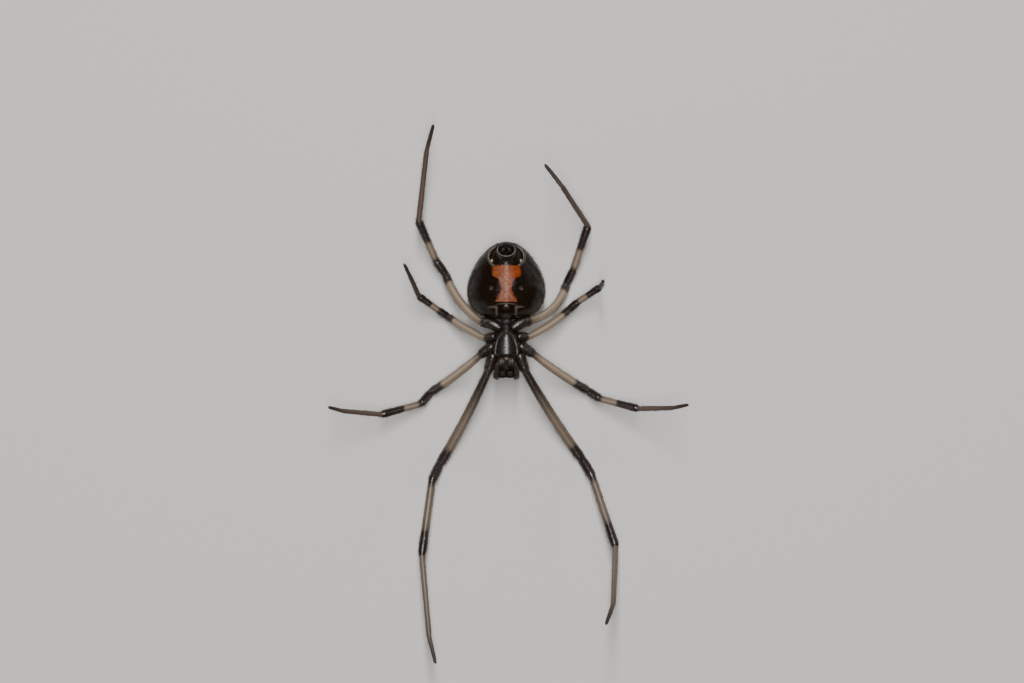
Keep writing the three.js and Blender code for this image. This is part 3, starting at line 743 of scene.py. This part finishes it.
def bodyMaterial(name, deep, light, roughness=0.28, scale=4.0, bump=0.02, rimOf=None,
                 rimColour=(0.06, 0.045, 0.036), gloss=0.38):
    # colour = deep to light by a cloudy noise, with finer paler specks, and a rim colour where rimOf says
    shader = Shader(name)
    place = shader.place()
    patches = shader.noise(place, scale, 4.0, 0.6)
    fine = shader.noise(place, scale * 6, 4.0, 0.65)
    colour = shader.mix(shader.step(patches, 0.3, 0.7), deep, light)
    colour = shader.mix(shader.step(fine, 0.5, 0.75) * 0.4, colour, scaled(light, 1.8))
    if rimOf:
        x, y, z = shader.axes(place)
        colour = shader.mix(rimOf(shader, x, y, z), colour, rimColour)
    height = fine * 0.6 + shader.noise(place, 60.0, 2.0) * 0.4
    return shader.finish(colour, roughness + (fine - 0.5) * 0.2, height, bump, {"Specular IOR Level": gloss})


# Carapace, in millimetres. Its back has a pit, grooves out of it like spokes, and a neck groove.

carapace = {
    "rows": 150, "around": 120, "frontY": -3.42, "length": 3.2, "head": 0.9, "shoulder": 0.68,
    "from": 0.25, "to": 0.72, "belly": 0.74, "back": 0.86, "marginZ": 2.78, "skew": 0.8,
    "deep": (0.012, 0.008, 0.006), "light": (0.03, 0.019, 0.013),
    "pit": {"depth": 0.14, "y": -1.35, "widthX": 0.16, "widthY": 0.2},
    "spokes": {"depth": 0.03, "count": 8, "reach": 0.6, "width": 0.35},
    "neck": {"depth": 0.06, "y": -2.05, "slope": 0.35, "width": 0.1, "from": (0.15, 0.45)},
}


def carapaceSurface(share, angle):
    # half width is the head's plus the shoulder's, which sets in half way; the pit and grooves are bells on
    # the back
    c, pitLook, spokeLook, neckLook = carapace, carapace["pit"], carapace["spokes"], carapace["neck"]
    width = eggWidth(share, c["skew"])
    half = c["head"] + c["shoulder"] * smoothStep(share, c["from"], c["to"])
    x = half * width * np.cos(angle)
    y = c["frontY"] + c["length"] * share + 0 * angle
    z = c["marginZ"] + np.where(np.sin(angle) > 0, c["belly"], c["back"]) * np.sin(angle) * width
    back = smoothStep(-np.sin(angle), 0.2, 0.7)
    behind = y - pitLook["y"]
    pit = pitLook["depth"] * hump(x, 0, pitLook["widthX"]) * hump(behind, 0, pitLook["widthY"])
    spokes = spokeLook["depth"] * (1 + np.cos(spokeLook["count"] * np.arctan2(behind, x)))
    spokes = spokes * hump(np.hypot(x, behind), spokeLook["reach"], spokeLook["width"])
    neck = neckLook["depth"] * hump(y, neckLook["y"] - neckLook["slope"] * np.abs(x), neckLook["width"])
    neck = neck * smoothStep(np.abs(x), *neckLook["from"])
    return np.stack([x, y, z + back * (pit + spokes + neck)], -1)


carapacePaint = bodyMaterial("carapaceSkin", carapace["deep"], carapace["light"])
carapaceForm = roundForm(carapaceSurface, carapace["rows"], carapace["around"])
makePiece("carapaceSkin", [carapaceForm], carapacePaint, ["carapace"])

# Sternum. Its rim and gutter are height, place by the cosine of the angle round the section, and width; the
# painted rim lies between two heights.

sternum = {
    "rows": 110, "around": 110, "frontY": -2.2, "length": 1.64, "halfWidth": 0.87,
    "dome": 0.3, "rimZ": 3.62, "taper": 2.3,
    "squareness": 24, "blunt": 0.4, "keel": 0.009, "keelWidth": 0.3,
    "rim": (0.03, 0.9, 0.06), "gutter": (-0.03, 0.78, 0.08), "rimFrom": (3.6, 3.66), "rimTo": (3.72, 3.8),
    "deep": (0.01, 0.007, 0.006), "light": (0.017, 0.0125, 0.0105),
}


def sternumSurface(share, angle):
    # half width W sqrt(1 - share^taper) (1 - (1 - share)^squareness)^blunt,
    # and a low dome with a raised rim and keel
    s = sternum
    front = np.clip(1 - (1 - share) ** s["squareness"], 0, 1) ** s["blunt"]
    width = np.sqrt(np.clip(1 - share ** s["taper"], 0, 1)) * front
    x = s["halfWidth"] * width * np.cos(angle)
    y = s["frontY"] + s["length"] * share + 0 * angle
    z = s["rimZ"] + s["dome"] * np.sin(angle) * width
    outwards = np.abs(np.cos(angle))
    edge = sum(height * hump(outwards, at, wide) for height, at, wide in (s["rim"], s["gutter"]))
    z = z + (edge + s["keel"] * hump(x, 0, s["keelWidth"])) * (np.sin(angle) > 0)
    return np.stack([x, y, z], -1)


def sternumRim(shader, x, y, z):
    # 1 between the two heights of the rim, fading past both
    return shader.window(z, sternum["rimFrom"], sternum["rimTo"]) * 0.6


sternumPaint = bodyMaterial("sternumSkin", sternum["deep"], sternum["light"], 0.21, bump=0.0035,
                            rimOf=sternumRim, gloss=0.34)
sternumForm = roundForm(sternumSurface, sternum["rows"], sternum["around"])
makePiece("sternumShield", [sternumForm], sternumPaint, ["sternum"])

# Mouthparts: a middle lobe, and a creased one on each side

mouth = {
    "labium": {"centre": (0, -2.36, 3.74), "half": (0.26, 0.21, 0.16)},
    "endite": {"centre": (0.31, -2.54, 3.69), "half": (0.27, 0.33, 0.21)}, "turn": 10, "crease": 0.03,
    "deep": (0.018, 0.0125, 0.0085), "light": (0.05, 0.036, 0.025), "rings": 40,
}


def lobe(centre, half, side=1, turn=0.0, crease=0.0):
    # an ellipsoid about its centre, turned about Z, with a lengthwise crease of the given depth on top
    c, s = math.cos(math.radians(turn)), math.sin(math.radians(turn))

    def surface(share, angle):
        ring = np.sqrt(np.clip(1 - (2 * share - 1) ** 2, 0, 1))
        x, y = half[0] * ring * np.cos(angle), half[1] * (2 * share - 1) + 0 * angle
        z = half[2] * ring * np.sin(angle)
        z = z - crease * hump(x, half[0] * 0.2, half[0] * 0.25) * (np.sin(angle) > 0)
        return np.stack([side * centre[0] + c * x - s * y, centre[1] + s * x + c * y, centre[2] + z], -1)
    return roundForm(surface, mouth["rings"], mouth["rings"])


mouthLobes = [lobe(**mouth["labium"])]
for side in (1, -1):
    mouthLobes.append(lobe(**mouth["endite"], side=side, turn=side * mouth["turn"], crease=mouth["crease"]))
mouthPaint = bodyMaterial("mouthSkin", mouth["deep"], mouth["light"])
makePiece("mouthparts", mouthLobes, mouthPaint, ["mouthparts"])

# Waist: a tube with a slight ripple

waist = {
    "line": [(0, -0.75, 3.12), (0, -0.3, 3.14), (0, 0.1, 3.1), (0, 0.6, 3.05)],
    "radii": [0.24, 0.23, 0.43, 0.56], "rings": 60, "around": 40, "ripple": 0.05, "rippleTurns": 24,
    "deep": (0.02, 0.015, 0.0135), "light": (0.045, 0.035, 0.031),
}
waistLine = curveThrough(waist["line"], waist["rings"])
waistRipple = 1 + waist["ripple"] * np.sin(np.linspace(0, waist["rippleTurns"], waist["rings"]))
waistRadii = curveThrough(np.array(waist["radii"])[:, None], waist["rings"])[:, 0] * waistRipple
waistPaint = bodyMaterial("waistSkin", waist["deep"], waist["light"], roughness=0.36)
waistForm = tubeForm(waistLine, waistRadii, acrossBody, waist["around"])
makePiece("waist", [waistForm], waistPaint, ["pedicel"])

# Chelicerae with fangs, and palps. Radii are pairs of the share of the length and the radius.

jaw = {
    "base": (0.24, -3.08, 2.7), "tip": (0.24, -3.36, 3.82), "bow": 0.05, "rings": 60, "around": 40,
    "radii": [(0, 0.19), (0.25, 0.25), (0.7, 0.265), (0.9, 0.26), (0.975, 0.23), (1, 0.12)],
    "deep": (0.005, 0.003, 0.002), "light": (0.012, 0.0075, 0.0052),
}
fang = {
    "line": [(0.21, -3.37, 3.78), (0.2, -3.37, 3.92), (0.17, -3.28, 4.02), (0.12, -3.16, 4.06)],
    "radius": 0.075, "taper": 0.93, "fullness": 0.8, "rings": 40, "around": 20,
    "deep": (0.009, 0.004, 0.003), "light": (0.02, 0.009, 0.006),
}
palp = {
    "line": [(0.54, -2.62, 3.5), (0.62, -2.95, 3.16), (0.67, -3.22, 3.0), (0.67, -3.42, 3.2),
             (0.64, -3.53, 3.5), (0.56, -3.56, 4.02)],
    "radii": [(0, 0.15), (0.1, 0.19), (0.3, 0.17), (0.37, 0.13), (0.43, 0.185), (0.55, 0.17), (0.58, 0.13),
              (0.64, 0.19), (0.76, 0.175), (0.79, 0.12), (0.83, 0.165), (0.93, 0.12), (1, 0.03)],
    "rings": 150, "around": 36, "deep": (0.02, 0.014, 0.01), "light": (0.06, 0.044, 0.034),
}
jawPaint = bodyMaterial("jawSkin", jaw["deep"], jaw["light"], roughness=0.4, gloss=0.14)
fangPaint = bodyMaterial("fangHorn", fang["deep"], fang["light"], 0.32, scale=9.0, bump=0.004)
palpPaint = bodyMaterial("palpSkin", palp["deep"], palp["light"], roughness=0.34, scale=6.0)


def squarish(angle):
    # a ring drawn out towards a square: (cos^4 + sin^4) to the power -1/4
    return (np.cos(angle) ** 4 + np.sin(angle) ** 4) ** -0.25


def jawForm(mirror):
    # a straight trunk from base to tip, bowed forwards by sin(pi t), with a squarish section
    t = np.linspace(0, 1, jaw["rings"])
    trunk = np.array(jaw["base"]) + (np.array(jaw["tip"]) - jaw["base"]) * t[:, None]
    trunk[:, 1] -= jaw["bow"] * np.sin(np.pi * t)
    radii = radiiAlong(jaw["radii"], jaw["rings"], 2)
    return tubeForm(trunk * mirror, radii, acrossBody, jaw["around"], swell=squarish)


def fangForm(mirror):
    # a hook whose radius is R (1 - taper t)^fullness
    t = np.linspace(0, fang["taper"], fang["rings"])
    line = curveThrough(fang["line"], fang["rings"]) * mirror
    return tubeForm(line, fang["radius"] * (1 - t) ** fang["fullness"], acrossBody, fang["around"])


palpLines = {}
for side, sideWord in sideName.items():
    mirror = np.array([side, 1, 1])
    sideTitle = sideWord.title()
    makePiece(f"jaw{sideTitle}", [jawForm(mirror)], jawPaint, [f"chelicera_{sideWord}"])
    makePiece(f"fang{sideTitle}", [fangForm(mirror)], fangPaint)
    palpLine = softened(curveThrough(palp["line"], palp["rings"]), 2) * mirror
    palpLines[side] = (palpLine, radiiAlong(palp["radii"], palp["rings"], 1.5))
    palpForm = tubeForm(*palpLines[side], acrossBody, palp["around"])
    makePiece(f"palp{sideTitle}", [palpForm], palpPaint, [f"pedipalp_{sideWord}"])
print("head done")

# Spinnerets: six cones and the tubercle behind them, in a low ring. Places are sideways and forwards from
# the seat, a point of the abdomen's underside at the given share of its length.

spinner = {
    "share": 0.875, "tilt": 42, "wallRings": 40, "wallAround": 72, "wallSoftness": 1.2,
    "wallAt": [0, 0.35, 0.55, 0.62, 0.7, 1.0], "wallHeights": [-0.4, -0.05, 0.11, 0.15, 0.1, -0.1],
    "wallRadii": [0.72, 0.66, 0.61, 0.58, 0.54, 0.4],
    "coneAt": [0, 0.55, 0.66, 0.72, 0.86, 0.96, 1], "coneRadii": [1, 1, 0.84, 0.9, 0.78, 0.5, 0.15],
    "coneRings": 26, "coneAround": 24, "coneSunk": 0.1, "coneRoot": 0.24, "coneInwards": 0.04,
    "rim": 0.58, "rimWidth": 0.035, "rimFade": (-0.1, 0.5),
    "deep": (0.006, 0.0045, 0.0035), "light": (0.018, 0.013, 0.01), "rimColour": (0.3, 0.26, 0.22),
}
spinnerCones = [
    {"out": 0.2, "ahead": -0.16, "radius": 0.14, "length": 0.36, "lean": 10},
    {"out": 0.08, "ahead": 0.03, "radius": 0.07, "length": 0.28, "lean": 4},
    {"out": 0.2, "ahead": 0.19, "radius": 0.12, "length": 0.32, "lean": -8},
]
tubercle = {"out": 0, "ahead": 0.4, "radius": 0.14, "length": 0.16, "lean": -20}
tilt = math.radians(spinner["tilt"])
seat = abdomenPlain(np.array(spinner["share"]), np.array(math.pi / 2))
axis = np.array([0.0, math.sin(tilt), math.cos(tilt)])
upwards = np.cross(acrossBody, axis)


def spinnerCone(out, ahead, radius, length, lean, side=1):
    # a cone with a waist below its soft tip, leaning in the middle plane and inwards by t squared
    a = math.radians(lean)
    way = axis * math.cos(a) + upwards * math.sin(a)
    t = np.linspace(0, 1, spinner["coneRings"])
    root = seat + np.array([side * out, 0, 0]) - upwards * ahead - axis * spinner["coneSunk"]
    line = root + way * ((spinner["coneRoot"] + length) * t)[:, None]
    line[:, 0] -= np.sign(side * out) * spinner["coneInwards"] * t ** 2
    radii = radius * np.interp(t, spinner["coneAt"], spinner["coneRadii"])
    return tubeForm(line, radii, acrossBody, spinner["coneAround"])


def spinnerWall():
    # a form turned about the spinnerets' axis, a ring of each radius at each height over the seat. It rises
    # to a round lip and falls inside to the floor that the cones stand on
    heights = radiiAlong(list(zip(spinner["wallAt"], spinner["wallHeights"])), spinner["wallRings"],
                         spinner["wallSoftness"])
    radii = radiiAlong(list(zip(spinner["wallAt"], spinner["wallRadii"])), spinner["wallRings"],
                       spinner["wallSoftness"])
    angle = fullTurn * np.arange(spinner["wallAround"])[None, :, None] / spinner["wallAround"]
    ringWay = np.cos(angle) * acrossBody + np.sin(angle) * np.cross(axis, acrossBody)
    rings = seat + axis * heights[:, None, None] + radii[:, None, None] * ringWay
    ends = seat + axis * heights[[0, -1], None]
    share = np.broadcast_to(np.linspace(0, 1, len(heights))[:, None, None], rings.shape[:2] + (1,))
    turned = np.broadcast_to(angle / fullTurn, rings.shape[:2] + (1,))
    maps = np.concatenate([np.concatenate([share, turned], -1).reshape(-1, 2), [[0, 0.5], [1, 0.5]]])
    points = np.concatenate([rings.reshape(-1, 3), ends])
    quads, tris = outward(points, *ringFaces(len(heights), spinner["wallAround"]))
    return points, quads, tris, maps


def spinnerRim(shader, x, y, z):
    # 1 where the distance from the tilted axis is the lip's radius, fainter on the far side
    ahead = (y - float(seat[1])) * math.cos(tilt) - (z - float(seat[2])) * math.sin(tilt)
    nearBelly = 1 - shader.step(ahead, *spinner["rimFade"]) * 0.75
    return shader.bell((x * x + ahead * ahead) ** 0.5, spinner["rim"], spinner["rimWidth"]) * nearBelly


spinnerForms = [spinnerWall()]
spinnerForms += [spinnerCone(**cone, side=side) for cone in spinnerCones for side in sideName]
spinnerForms.append(spinnerCone(**tubercle))
spinnerPaint = bodyMaterial("spinneretSkin", spinner["deep"], spinner["light"], 0.3, 6.0, 0.01,
                            rimOf=spinnerRim, rimColour=spinner["rimColour"])
makePiece("spinnerets", spinnerForms, spinnerPaint, ["spinnerets"])
print("body done")

# Eyes: each lens takes its centre and radius from its solid, and looks away from a point inside the head

eye = {
    "rows": ("anterior_median", "anterior_lateral", "posterior_median", "posterior_lateral"), "rings": 30,
    "lookFrom": 1.0, "size": 0.99, "bulge": 0.06, "bulgeFrom": (0.3, 1.0), "groove": 0.04, "grooveAt": 0.15,
    "grooveWidth": 0.08, "deep": (0.003, 0.002, 0.002), "light": (0.02, 0.011, 0.008),
}


def eyeMaterial():
    # deep to light by a cloudy noise, under a clear coat
    shader = Shader("eyeLens")
    cloud = shader.noise(shader.place(), 9.0, 2.0)
    colour = shader.mix(cloud, eye["deep"], eye["light"])
    coat = {"Coat Weight": 1.0, "Coat Roughness": 0.03}
    return shader.finish(colour, 0.05 + cloud * 0.03, cloud, 0.001, coat)


def eyeForm(node):
    # a sphere whose front is drawn out along the eye's line of sight, with a groove where its rim ends
    box = (np.array(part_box(node)) - move) / mm
    centre, radius = box.mean(0), (box[1, 2] - box[0, 2]) / 2
    sight = unit(centre - np.array([0, carapace["frontY"] + eye["lookFrom"], carapace["marginZ"]]))

    def surface(share, angle):
        ring = np.sqrt(np.clip(1 - (2 * share - 1) ** 2, 0, 1))
        p = np.stack([ring * np.cos(angle), (2 * share - 1) + 0 * angle, ring * np.sin(angle)], -1)
        facing = p @ sight
        size = eye["size"] + eye["bulge"] * smoothStep(facing, *eye["bulgeFrom"])
        size = size - eye["groove"] * hump(facing, eye["grooveAt"], eye["grooveWidth"])
        return centre + p * (radius * size)[..., None]
    return roundForm(surface, eye["rings"], eye["rings"])


eyePaint = eyeMaterial()
for row in eye["rows"]:
    for sideWord in sideName.values():
        node = f"eye_{row}_{sideWord}"
        lensName = "eyeLens" + row.title().replace("_", "") + sideWord.title()
        makePiece(lensName, [eyeForm(node)], eyePaint, [node])
print("eyes done")

# Hair: thin three-sided spikes, rooted in the skin and leaning along it. Rings are shares of the length.

hair = {"sides": 3, "rings": [-0.12, 0.3, 0.68], "thickness": [1.0, 0.85, 0.5], "bend": 0.2, "patch": 0.001,
        "mapSize": 0.98}


def hairForms(roots, ways, normals, lengths, radii, lean, bend):
    # each hair leaves its root at the lean from the skin and bends back along it by the square of the share;
    # three rings of three points and a tip
    sides = hair["sides"]
    out = unit(ways * np.cos(lean)[:, None] + normals * np.sin(lean)[:, None])
    across = unit(np.cross(out, normals))
    upright = np.cross(across, out)
    share = np.array(hair["rings"])
    angle = (fullTurn * np.arange(sides) / sides)[None, None, :, None]
    middle = roots[:, None] + lengths[:, None, None] * (
        share[None, :, None] * out[:, None] - (bend * share ** 2)[None, :, None] * normals[:, None])
    ring = np.cos(angle) * across[:, None, None] + np.sin(angle) * upright[:, None, None]
    rings = middle[:, :, None] + (radii[:, None] * hair["thickness"])[:, :, None, None] * ring
    tips = roots + lengths[:, None] * (out - bend * normals)
    points = np.concatenate([rings.reshape(len(roots), -1, 3), tips[:, None]], 1)
    each = points.shape[1]
    faces = []
    for row in range(2):
        for k in range(sides):
            n = (k + 1) % sides
            a, b = row * sides, (row + 1) * sides
            faces += [(a + k, a + n, b + n), (a + k, b + n, b + k)]
    faces += [(2 * sides + k, 2 * sides + (k + 1) % sides, each - 1) for k in range(sides)]
    faces.append((2, 1, 0))
    tris = (np.array(faces)[None] + (each * np.arange(len(roots)))[:, None, None]).reshape(-1, 3)
    return points.reshape(-1, 3), tris, each


def hairPiece(name, groups, material):
    # groups are dictionaries of arrays; along is the skin's own map at the root, and bake the place on the
    # unwrap
    forms, bakes = [], []
    for group in groups:
        along, bake = group.pop("along"), group.pop("bake")
        points, tris, each = hairForms(**group)
        many = len(group["roots"])
        p, firstHair = points[:each], tris[:len(tris) // many]
        volume = np.einsum("ij,ij->", p[firstHair[:, 0]], np.cross(p[firstHair[:, 1]], p[firstHair[:, 2]]))
        tris = tris if volume > 0 else tris[:, ::-1]
        patch = np.stack([np.arange(each) % 3, np.arange(each) // 3], -1) * hair["patch"]
        bakes.append(np.repeat(bake, each, 0) + np.tile(patch, (many, 1)))
        forms.append((points, np.zeros((0, 4), int), tris, np.repeat(along, each, 0)))
    makePiece(name, forms, material, bakeMap=np.concatenate(bakes))


# Hair of the legs, with sparse longer spines. sizeAt gives the hair's size at each station.

legHair = {
    "perMm": 62, "length": 0.2, "vary": (0.6, 1.25), "radius": 0.0085, "lean": 30, "leanVary": (-8, 10),
    "spinesPerMm": 1.6, "spineLength": 1.7, "spineRadius": 1.6, "spineLean": 48, "bend": 0.22, "sunk": 0.97,
    "from": 0.015, "to": 0.992, "sizeAt": [0.7, 0.85, 1.0, 1.05, 0.95, 0.75, 0.5],
    "lift": 1.25, "roughness": 0.5,
}


def legHairGroup(pair, side, number):
    # roots at random places along a leg and round it: centre + radius (cos a across + sin a upright)
    leg, look = legs[pair, side], legHair
    total = leg["at"][-1]
    many = int(total * look["perMm"])
    spines = int(total * look["spinesPerMm"])
    where = seeded.uniform(look["from"], look["to"], many + spines) * (len(leg["at"]) - 1)
    i = where.astype(int)
    f = (where - i)[:, None]
    line = leg["line"][i] * (1 - f) + leg["line"][i + 1] * f
    station = leg["station"][i] * (1 - f[:, 0]) + leg["station"][i + 1] * f[:, 0]
    way, across, upright = (a[i] for a in tubeFrames(leg["line"], leg["side"]))
    angle = seeded.uniform(0, fullTurn, len(i))
    normal = np.cos(angle)[:, None] * across + np.sin(angle)[:, None] * upright
    size = np.interp(station, np.arange(legPieces + 1), look["sizeAt"])
    isSpine = np.arange(len(i)) >= many
    lengths = look["length"] * size * seeded.uniform(*look["vary"], len(i))
    lengths = lengths * np.where(isSpine, look["spineLength"], 1)
    lean = np.where(isSpine, look["spineLean"], look["lean"]) + seeded.uniform(*look["leanVary"], len(i))
    return {
        "roots": line + normal * leg["radii"][i][:, None] * look["sunk"], "ways": way, "normals": normal,
        "lengths": lengths, "lean": np.radians(lean), "bend": look["bend"],
        "radii": look["radius"] * np.where(isSpine, look["spineRadius"], 1) * (0.7 + 0.3 * size),
        "along": np.stack([station / legPieces, angle / fullTurn], -1),
        "bake": np.stack([(number + angle / fullTurn) / 2, station / legPieces], -1) * hair["mapSize"],
    }


legHairPaints = {pair: legMaterial(pair, "legHair", legHair["lift"], legHair["roughness"])
                 for pair in legSizes}
for pair in legSizes:
    groups = [legHairGroup(pair, side, number) for number, side in enumerate(sideName)]
    hairPiece(f"legHair{pair}", groups, legHairPaints[pair])


def surfaceHairGroup(surface, many, lengths, radius, lean, shares, angles, lie):
    # roots spread over a surface's share and angle; the lie is the way that the hair points before it meets
    # the skin
    share = seeded.uniform(*shares, many)
    angle = seeded.uniform(*angles, many)
    step = 1e-3
    root = surface(share, angle)
    du = surface(share + step, angle) - root
    dv = surface(share, angle + step) - root
    normal = unit(np.cross(dv, du))
    across = root - surface(share, angle + np.pi)
    normal = normal * np.sign(np.einsum("ij,ij->i", normal, across))[:, None]
    way = unit(lie - np.einsum("ij,j->i", normal, np.asarray(lie, float))[:, None] * normal)
    length = seeded.uniform(*lengths, many)
    return {
        "roots": root, "ways": way, "normals": normal, "lengths": length, "radii": np.full(many, radius),
        "lean": np.radians(lean + seeded.uniform(-8, 8, many)), "bend": hair["bend"],
        "along": np.stack([share, angle / fullTurn], -1),
        "bake": np.stack([angle / fullTurn, share], -1) * hair["mapSize"],
    }


def hairMaterial(name, deep, light):
    # deep to light by a cloudy noise
    shader = Shader(name)
    patches = shader.noise(shader.place(), 5.0, 3.0)
    colour = shader.mix(patches, deep, light)
    return shader.finish(colour, 0.42 + patches * 0.1, patches, 0.001, {"Specular IOR Level": 0.25})


allRound = (0.0, fullTurn)
bodyHair = {
    "abdomen": {"many": 4200, "lengths": (0.1, 0.2), "radius": 0.006, "lean": 26,
                "shares": (0.02, 0.97), "angles": allRound, "lie": (0, 1, 0.1)},
    "sternum": {"many": 420, "lengths": (0.08, 0.16), "radius": 0.006, "lean": 38,
                "shares": (0.05, 0.95), "angles": (0.1, 3.04), "lie": (0, -1, 0.2)},
    "carapace": {"many": 1200, "lengths": (0.07, 0.16), "radius": 0.006, "lean": 34,
                 "shares": (0.03, 0.97), "angles": allRound, "lie": (0, -1, 0)},
    "deep": (0.008, 0.005, 0.0035), "light": (0.035, 0.024, 0.017),
}
bodyHairPaint = hairMaterial("bodyHair", bodyHair["deep"], bodyHair["light"])
abdomenHair = surfaceHairGroup(abdomenSurface, **bodyHair["abdomen"])
hairPiece("abdomenHair", [abdomenHair], bodyHairPaint)
chestGroups = [surfaceHairGroup(sternumSurface, **bodyHair["sternum"]),
               surfaceHairGroup(carapaceSurface, **bodyHair["carapace"])]
hairPiece("chestHair", chestGroups, bodyHairPaint)

palpHair = {
    "many": 420, "lengths": (0.1, 0.22), "radius": 0.007, "lean": 32, "bare": 4, "sunk": 0.96,
    "deep": (0.03, 0.02, 0.014), "light": (0.12, 0.09, 0.065),
}


def palpHairGroup(line, radii):
    # roots at random rings of a palp and round it, none on the bare rings at its ends
    many = palpHair["many"]
    i = seeded.integers(palpHair["bare"], len(line) - palpHair["bare"], many)
    way, across, upright = (a[i] for a in tubeFrames(line, acrossBody))
    angle = seeded.uniform(0, fullTurn, many)
    normal = np.cos(angle)[:, None] * across + np.sin(angle)[:, None] * upright
    share = i / (len(line) - 1)
    length = seeded.uniform(*palpHair["lengths"], many)
    return {
        "roots": line[i] + normal * radii[i][:, None] * palpHair["sunk"], "ways": way, "normals": normal,
        "lengths": length, "radii": np.full(many, palpHair["radius"]),
        "lean": np.radians(palpHair["lean"] + seeded.uniform(-8, 8, many)), "bend": hair["bend"],
        "along": np.stack([share, angle / fullTurn], -1),
        "bake": np.stack([angle / fullTurn, share], -1) * hair["mapSize"],
    }


palpHairPaint = hairMaterial("palpHair", palpHair["deep"], palpHair["light"])
palpHairs = [palpHairGroup(*palpLines[side]) for side in sideName]
hairPiece("palpHair", palpHairs, palpHairPaint)
print("hair done")

# The studio: a pale floor, soft light from above and beside, and the camera straight over the spider. Floor
# and lights are in metres. The camera's place is in the spider's millimetres, and so is a pixel of the
# picture, which is pictureWidth pixels wide, at the height focusZ.

studio = {
    "floor": (0.74, 0.71, 0.68), "floorHalf": 1.5, "world": 0.08, "worldTone": (1.0, 0.96, 0.92),
    "camera": (0.376, -1.2), "height": 300.0, "pixel": 0.066, "focusZ": 2.5, "pictureWidth": 1024,
    "sensor": 36,
    "key": {"at": (0.0, 0.07, 0.32), "size": (0.036, 0.28), "power": 1.25},
    "fill": {"at": (-0.34, -0.2, 0.1), "size": (0.24, 0.14), "power": 0.14},
    "rear": {"at": (0.34, 0.22, 0.1), "size": (0.24, 0.14), "power": 0.12},
}


def floorMaterial():
    # pale paint, cloudy by 3 parts in 100
    shader = Shader("floorPaint")
    soft = shader.noise(shader.add("ShaderNodeTexCoord", output="Object"), 3.0, 2.0)
    colour = shader.mix(soft, scaled(studio["floor"], 0.97), studio["floor"])
    return shader.finish(colour, 0.9 + soft * 0.02, soft, 0.01)


half = studio["floorHalf"]
floorMesh = bpy.data.meshes.new("floor")
floorCorners = [(-half, -half, 0), (half, -half, 0), (half, half, 0), (-half, half, 0)]
floorMesh.from_pydata(floorCorners, [], [(0, 1, 2, 3)])
floorMesh.materials.append(floorMaterial())
floor = bpy.data.objects.new("floor", floorMesh)
bpy.context.scene.collection.objects.link(floor)


def softLight(name, at, size, power):
    # a rectangle of light that faces the spider
    lamp = bpy.data.lights.new(name, "AREA")
    lamp.shape = "RECTANGLE"
    lamp.size, lamp.size_y = size
    lamp.energy = power
    lampObject = bpy.data.objects.new(name, lamp)
    lampObject.location = at
    lampObject.rotation_euler = (math.atan2(math.hypot(at[0], at[1]), at[2]), 0, math.atan2(at[0], -at[1]))
    bpy.context.scene.collection.objects.link(lampObject)


for lampName in ("key", "fill", "rear"):
    softLight(lampName, **studio[lampName])
world = bpy.data.worlds.new("studioAir")
world.use_nodes = True
background = world.node_tree.nodes["Background"]
background.inputs["Color"].default_value = (*studio["worldTone"], 1)
background.inputs["Strength"].default_value = studio["world"]
bpy.context.scene.world = world

camera = bpy.data.cameras.new("overhead")
camera.sensor_width = studio["sensor"]
viewWidth = studio["pictureWidth"] * studio["pixel"]
camera.lens = studio["sensor"] * (studio["height"] - studio["focusZ"]) / viewWidth
camera.clip_start, camera.clip_end = 0.01, 20
cameraObject = bpy.data.objects.new("overhead", camera)
cameraObject.location = np.array([*studio["camera"], studio["height"]]) * mm + move
bpy.context.scene.collection.objects.link(cameraObject)
bpy.context.scene.camera = cameraObject
print("studio done")
